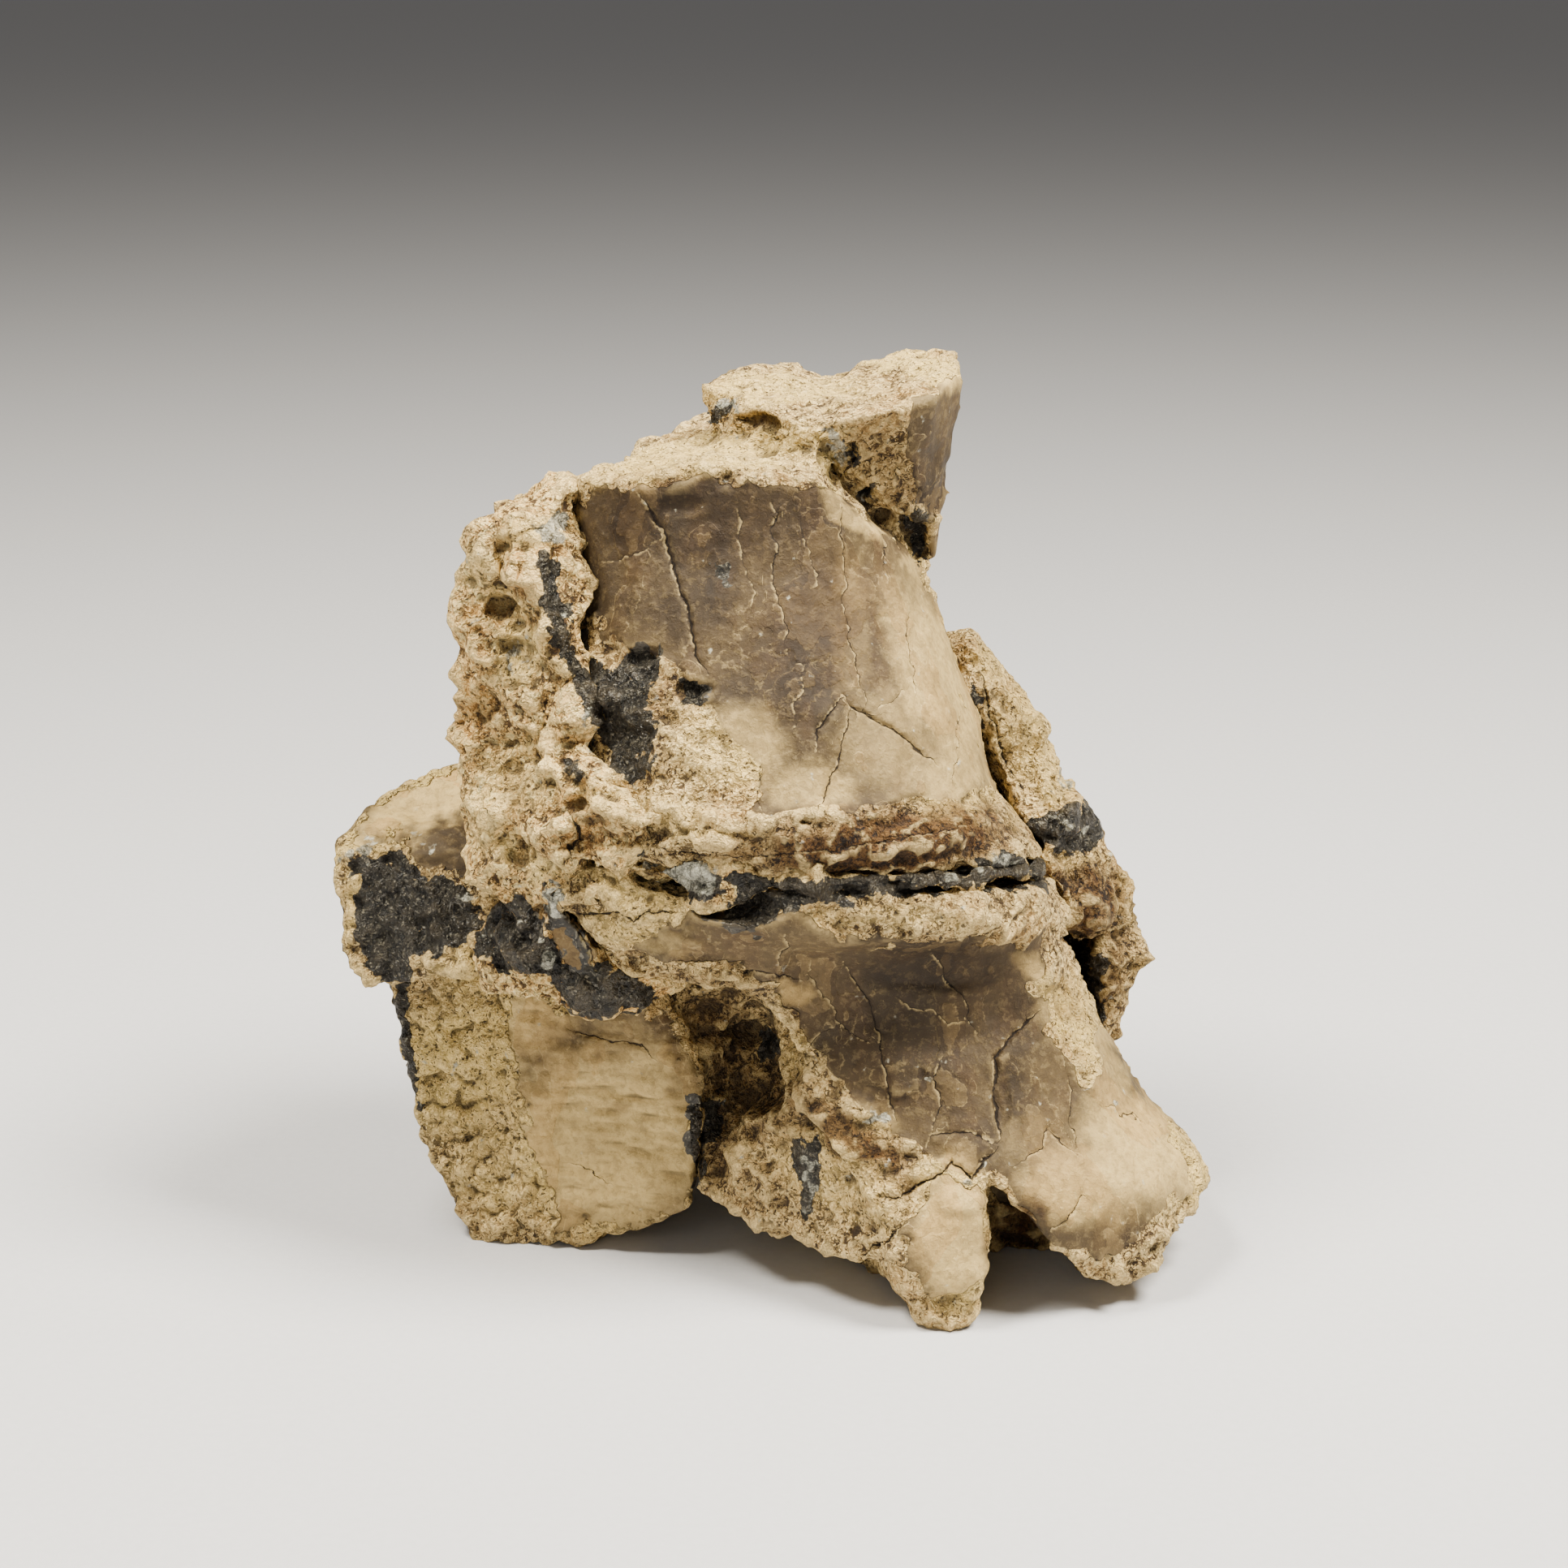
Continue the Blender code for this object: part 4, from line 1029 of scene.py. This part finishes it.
def read_marks(tree, kit, chip_size):
    """Sockets that say what lies at a place: its grain, films, cracks, patches and stains."""
    own = put(tree, "ShaderNodeTexCoord").outputs["Object"]
    place = arrow(tree, "MULTIPLY", own, (1 / MM,) * 3)
    grain = use(tree, kit, "grain", Place=place, Chip_size=chip_size)
    blur = grain["Blur"]
    film = use(tree, kit, "film", Level=painted(tree, "film"), Blur=blur)
    crack = use(
        tree, kit, "cracks", Blur=blur, Side=painted(tree, "crack_side"),
        Width=painted(tree, "crack_width"),
    )
    marks = {}
    for sockets in (grain, film, crack):
        marks.update({socket.name: socket for socket in sockets})
    for name, ragged, edge in PATCH_EDGES:
        patch = use(tree, kit, "patch", Amount=painted(tree, name), Blur=blur, Ragged=ragged, Edge=edge)
        marks[name] = patch["Patch"]
    for name in ("facets", "clouds", "streaks", "pale", "brown", "hollow"):
        marks[name] = painted(tree, name)
    marks["rough"] = reckon(tree, "SUBTRACT", 1.0, marks["smooth"])
    marks["in hollow"] = spread(tree, marks["hollow"], 0.15, 0.9)
    marks["on edge"] = spread(tree, marks["hollow"], -0.20, -1.0)
    even_pale = spread(tree, marks["clouds"], 0.0, 0.7, 0.75, 1.0)
    marks["pale"] = times(tree, marks["pale"], even_pale)
    streaky = spread(tree, marks["streaks"], 0.0, 0.7, 1.0, 0.8)
    marks["brown"] = times(tree, marks["brown"], streaky)
    return marks


def broken_face(tree, look, marks):
    """Crumbly crust, darker where its grain lies low, with warm clouds, specks and painted glints."""
    tone = total(tree, (marks["Tone"], 0.72), (marks["facets"], 0.28), (marks["clouds"], 0.14))
    crust = spread(tree, tone, 0.22, 0.55)
    colour = stain(tree, crust, tint(*look["crust_dark"]), tint(*look["crust"]))
    layers = [
        (spread(tree, tone, 0.58, 0.94), "crust_pale"),
        (spread(tree, marks["clouds"], 0.4, 1.0, 0.0, 0.40), "crust_warm"),
        (times(tree, marks["pale"], 0.75), "pale"),
        (times(tree, marks["Specks"], 0.85), "dirt_and_shade"),
        # Painted glints: a few random crumbs take the pale edge colour.
        (times(tree, marks["Glints"], 0.75), "edge"),
    ]
    return layered(tree, look, colour, layers)


def bone_wall(tree, look, marks):
    """The smooth wall of a bone: clouded film, bleached patches and the rims of its flakes."""
    clouds = spread(tree, marks["clouds"], 0.1, 0.9)
    colour = stain(tree, clouds, tint(*look["film_dark"]), tint(*look["film_light"]))
    layers = [
        (spread(tree, marks["streaks"], 0.55, 1.1, 0.0, 0.45), "film_warm"),
        (times(tree, marks["pale"], 0.85), "film_pale"),
    ]
    colour = layered(tree, look, colour, layers)
    mottled = spread(tree, marks["Blur"], 0.56, 0.40, 0.0, 0.20)
    colour = stain(tree, mottled, colour, tint(*WALL_MOTTLE), "MULTIPLY")
    worn = spread(tree, marks["facets"], 0.7, 0.2, 0.0, 0.14)
    colour = stain(tree, worn, colour, tint(*WALL_WORN), "MULTIPLY")
    upper_film = times(tree, marks["Upper film"], 0.30)
    colour = stain(tree, upper_film, colour, tint(*look["film_under"]), "OVERLAY")
    layers = [
        (times(tree, marks["Lower film"], 0.12), "crust"),
        (times(tree, marks["Rims"], 0.15), "crust_pale"),
        (spread(tree, marks["Tone"], 0.30, 0.0, 0.0, 0.22), "dirt_and_shade"),
        (spread(tree, marks["Tone"], 0.6, 1.0, 0.0, 0.06), "crust_pale"),
    ]
    return layered(tree, look, colour, layers)


def stains_and_painted_light(tree, look, marks, colour):
    """Brown stains, and dirt in the hollows, both partly painted shade; edges paler from wear and a
    painted highlight.
    """
    brown = times(tree, marks["brown"], 0.88)
    colour = stain(tree, brown, colour, tint(*look["brown"]), "MULTIPLY")
    # Painted shade and highlight: the hollows darken with the dirt colour as dirt and shade, and the
    # edges pale with the edge colour as wear and a highlight.
    worn = times(tree, marks["on edge"], spread(tree, marks["rough"], 0.0, 1.0, 0.15, 0.50))
    return layered(tree, look, colour, [(times(tree, marks["in hollow"], 0.72), "dirt_and_shade"), (worn, "edge")])


def black_ore(tree, marks):
    """Glossy black mineral with painted grey glints, and edges paler from wear and a painted highlight.
    """
    colour = stain(tree, marks["Tone"], tint(*ORE_BLACK), tint(*ORE_GREY))
    # Painted glints on a few random crumbs.
    colour = stain(tree, times(tree, marks["Glints"], 0.55), colour, tint(*ORE_GLINT))
    # Painted highlight and wear: the ore's edges are paler.
    return stain(tree, times(tree, marks["on edge"], 0.20), colour, tint(*ORE_EDGE))


def stone_material(name, kit, look):
    """Bone or rock: broken faces, smooth wall, stains with painted shade and light, black mineral,
    crystals and cracks.
    """
    material = bpy.data.materials.new(name)
    material.use_nodes = True
    tree = material.node_tree
    shader = tree.nodes["Principled BSDF"]
    shader.inputs["Specular IOR Level"].default_value = 0.30
    marks = read_marks(tree, kit, look["chip"])
    line = marks["Line"]

    colour = stain(tree, marks["smooth"], broken_face(tree, look, marks), bone_wall(tree, look, marks))
    colour = stains_and_painted_light(tree, look, marks, colour)
    colour = stain(tree, marks["black"], colour, black_ore(tree, marks))
    glass = stain(tree, marks["Tone"], tint(*CRYSTAL_DARK), tint(*CRYSTAL_PALE))
    colour = stain(tree, times(tree, marks["crystal"], 0.85), colour, glass)
    colour = layered(tree, look, colour, [(times(tree, marks["Lip"], 0.27), "crust_pale")])
    colour = stain(tree, times(tree, line, 0.92), colour, tint(*CRACK_DARK))
    tree.links.new(colour, shader.inputs["Base Color"])

    dull = grey(DULLNESS["broken face"])
    for share, finish in FINISHES:
        dull = stain(tree, marks[share], dull, grey(DULLNESS[finish]))
    tree.links.new(dull, shader.inputs["Roughness"])

    relief = spread(tree, marks["rough"], 0.0, 1.0, look["grazed"], look["relief"])
    steps = total(tree, (marks["Upper film"], 0.05), (marks["Lower film"], 0.04), (line, -0.12))
    height = reckon(tree, "ADD", times(tree, marks["Height"], relief), steps)
    bump = put(tree, "ShaderNodeBump", {"Height": height, "Strength": 1.0, "Distance": MM})
    tree.links.new(bump.outputs[0], shader.inputs["Normal"])
    return material


# Each material's chip size and relief of its grain, in mm, and its colours as they look.
# The dark dirt colour also paints shade in the hollows; the edge colour paints glints and a highlight on
# edges.
LOOKS = {
    "fossil_bone": dict(
        chip=0.9, relief=2.3, grazed=0.30,
        crust_dark=(66, 50, 30), crust=(190, 160, 104), crust_pale=(238, 210, 148),
        crust_warm=(168, 130, 72), film_dark=(64, 51, 32), film_light=(88, 72, 45),
        film_warm=(82, 62, 38), film_under=(158, 138, 104), film_pale=(214, 186, 122),
        pale=(240, 210, 128), brown=(110, 90, 70), dirt_and_shade=(48, 36, 25), edge=(230, 202, 140),
    ),
    "broken_bone": dict(
        chip=1.0, relief=2.4, grazed=0.30,
        crust_dark=(62, 47, 29), crust=(186, 156, 100), crust_pale=(236, 208, 146),
        crust_warm=(172, 130, 70), film_dark=(84, 70, 46), film_light=(112, 95, 64),
        film_warm=(92, 74, 46), film_under=(158, 138, 104), film_pale=(214, 186, 122),
        pale=(236, 206, 128), brown=(110, 90, 70), dirt_and_shade=(48, 36, 25), edge=(224, 196, 136),
    ),
    "rock_matrix": dict(
        chip=1.1, relief=2.6, grazed=0.30,
        crust_dark=(76, 55, 30), crust=(214, 174, 106), crust_pale=(246, 222, 156),
        crust_warm=(200, 148, 76), film_dark=(96, 78, 50), film_light=(132, 110, 72),
        film_warm=(110, 86, 52), film_under=(158, 138, 104), film_pale=(210, 184, 122),
        pale=(246, 218, 142), brown=(112, 90, 68), dirt_and_shade=(50, 37, 24), edge=(234, 206, 142),
    ),
}


def make_materials():
    """One material for each slot, all from the same four node groups."""
    kit = {
        "grain": stone_grain(), "patch": crisp_patch(), "film": peeling_film(),
        "cracks": crack_lines(),
    }
    return {slot: stone_material(slot, kit, look) for slot, look in LOOKS.items()}


# ---------------------------------------------------------------- studio

# The middle of the fossil, where the lamps point, and the colours of light, as light.
LAMP_AIM = (0.0, 0.0, 0.055)
WARM_LIGHT = (1.0, 0.93, 0.79)
FILL_LIGHT = (1.0, 0.94, 0.82)
ROOM_LIGHT = (0.90, 0.86, 0.80, 1.0)
PAPER_SHADE = (194, 195, 200)
PAPER = (203, 204, 209)
SENSOR = 36.0                          # width of the camera's picture, mm


def soft_light(name, place, size, power, colour):
    """A round lamp that points at the fossil."""
    lamp = bpy.data.lights.new(name, "AREA")
    lamp.shape = "DISK"
    lamp.size = size
    lamp.energy = power
    lamp.color = colour
    obj = bpy.data.objects.new(name, lamp)
    obj.location = place
    obj.rotation_euler = (Vector(LAMP_AIM) - Vector(place)).to_track_quat("-Z", "Y").to_euler()
    bpy.context.scene.collection.objects.link(obj)


def studio():
    """A pale paper floor, two soft windows, a fill and the light of the room."""
    bm = bmesh.new()
    bmesh.ops.create_grid(bm, x_segments=1, y_segments=1, size=8.0)
    mesh = bpy.data.meshes.new("floor")
    bm.to_mesh(mesh)
    bm.free()
    floor = bpy.data.objects.new("floor", mesh)
    bpy.context.scene.collection.objects.link(floor)
    paper = bpy.data.materials.new("pale_paper")
    paper.use_nodes = True
    tree = paper.node_tree
    place = put(tree, "ShaderNodeTexCoord").outputs["Object"]
    fibre = put(tree, "ShaderNodeTexNoise", {"Vector": place, "Scale": 900.0, "Detail": 2.0}).outputs[0]
    sheet = stain(tree, fibre, tint(*PAPER_SHADE), tint(*PAPER))
    shader = tree.nodes["Principled BSDF"]
    tree.links.new(sheet, shader.inputs["Base Color"])
    shader.inputs["Roughness"].default_value = 0.9
    mesh.materials.append(paper)

    soft_light("right_window", (0.30, -0.10, 0.56), 0.24, 12.4, WARM_LIGHT)
    soft_light("left_window", (-0.26, -0.10, 0.60), 0.24, 9.4, WARM_LIGHT)
    soft_light("front_fill", (-0.20, -0.75, 0.35), 0.50, 1.05, FILL_LIGHT)
    world = bpy.data.worlds.new("room")
    bpy.context.scene.world = world
    world.use_nodes = True
    background = world.node_tree.nodes["Background"]
    background.inputs["Color"].default_value = ROOM_LIGHT
    background.inputs["Strength"].default_value = 0.19


def eye():
    """The camera, square to the drawing plate."""
    camera = bpy.data.cameras.new("eye")
    camera.sensor_width = SENSOR
    camera.lens = SENSOR * REACH / PLATE
    camera.clip_start = 0.01
    obj = bpy.data.objects.new("eye", camera)
    bpy.context.scene.collection.objects.link(obj)
    obj.location = Vector((TARGET - FORWARD * DISTANCE) * MM)
    obj.rotation_euler = Vector(FORWARD).to_track_quat("-Z", "Y").to_euler()
    bpy.context.scene.camera = obj


def main():
    """Sets up the studio and lays a weathered skin over each CAD node."""
    studio()
    eye()
    materials = make_materials()
    for node, slot in SLOTS.items():
        skin = weathered_skin(node)
        obj = skin.obj
        obj.data.materials.clear()
        obj.data.materials.append(materials[slot])
        obj.data.shade_smooth()
        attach(obj, "root")
        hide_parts(node)
        print(node, "has", sum(len(face.vertices) - 2 for face in obj.data.polygons), "triangles")


main()
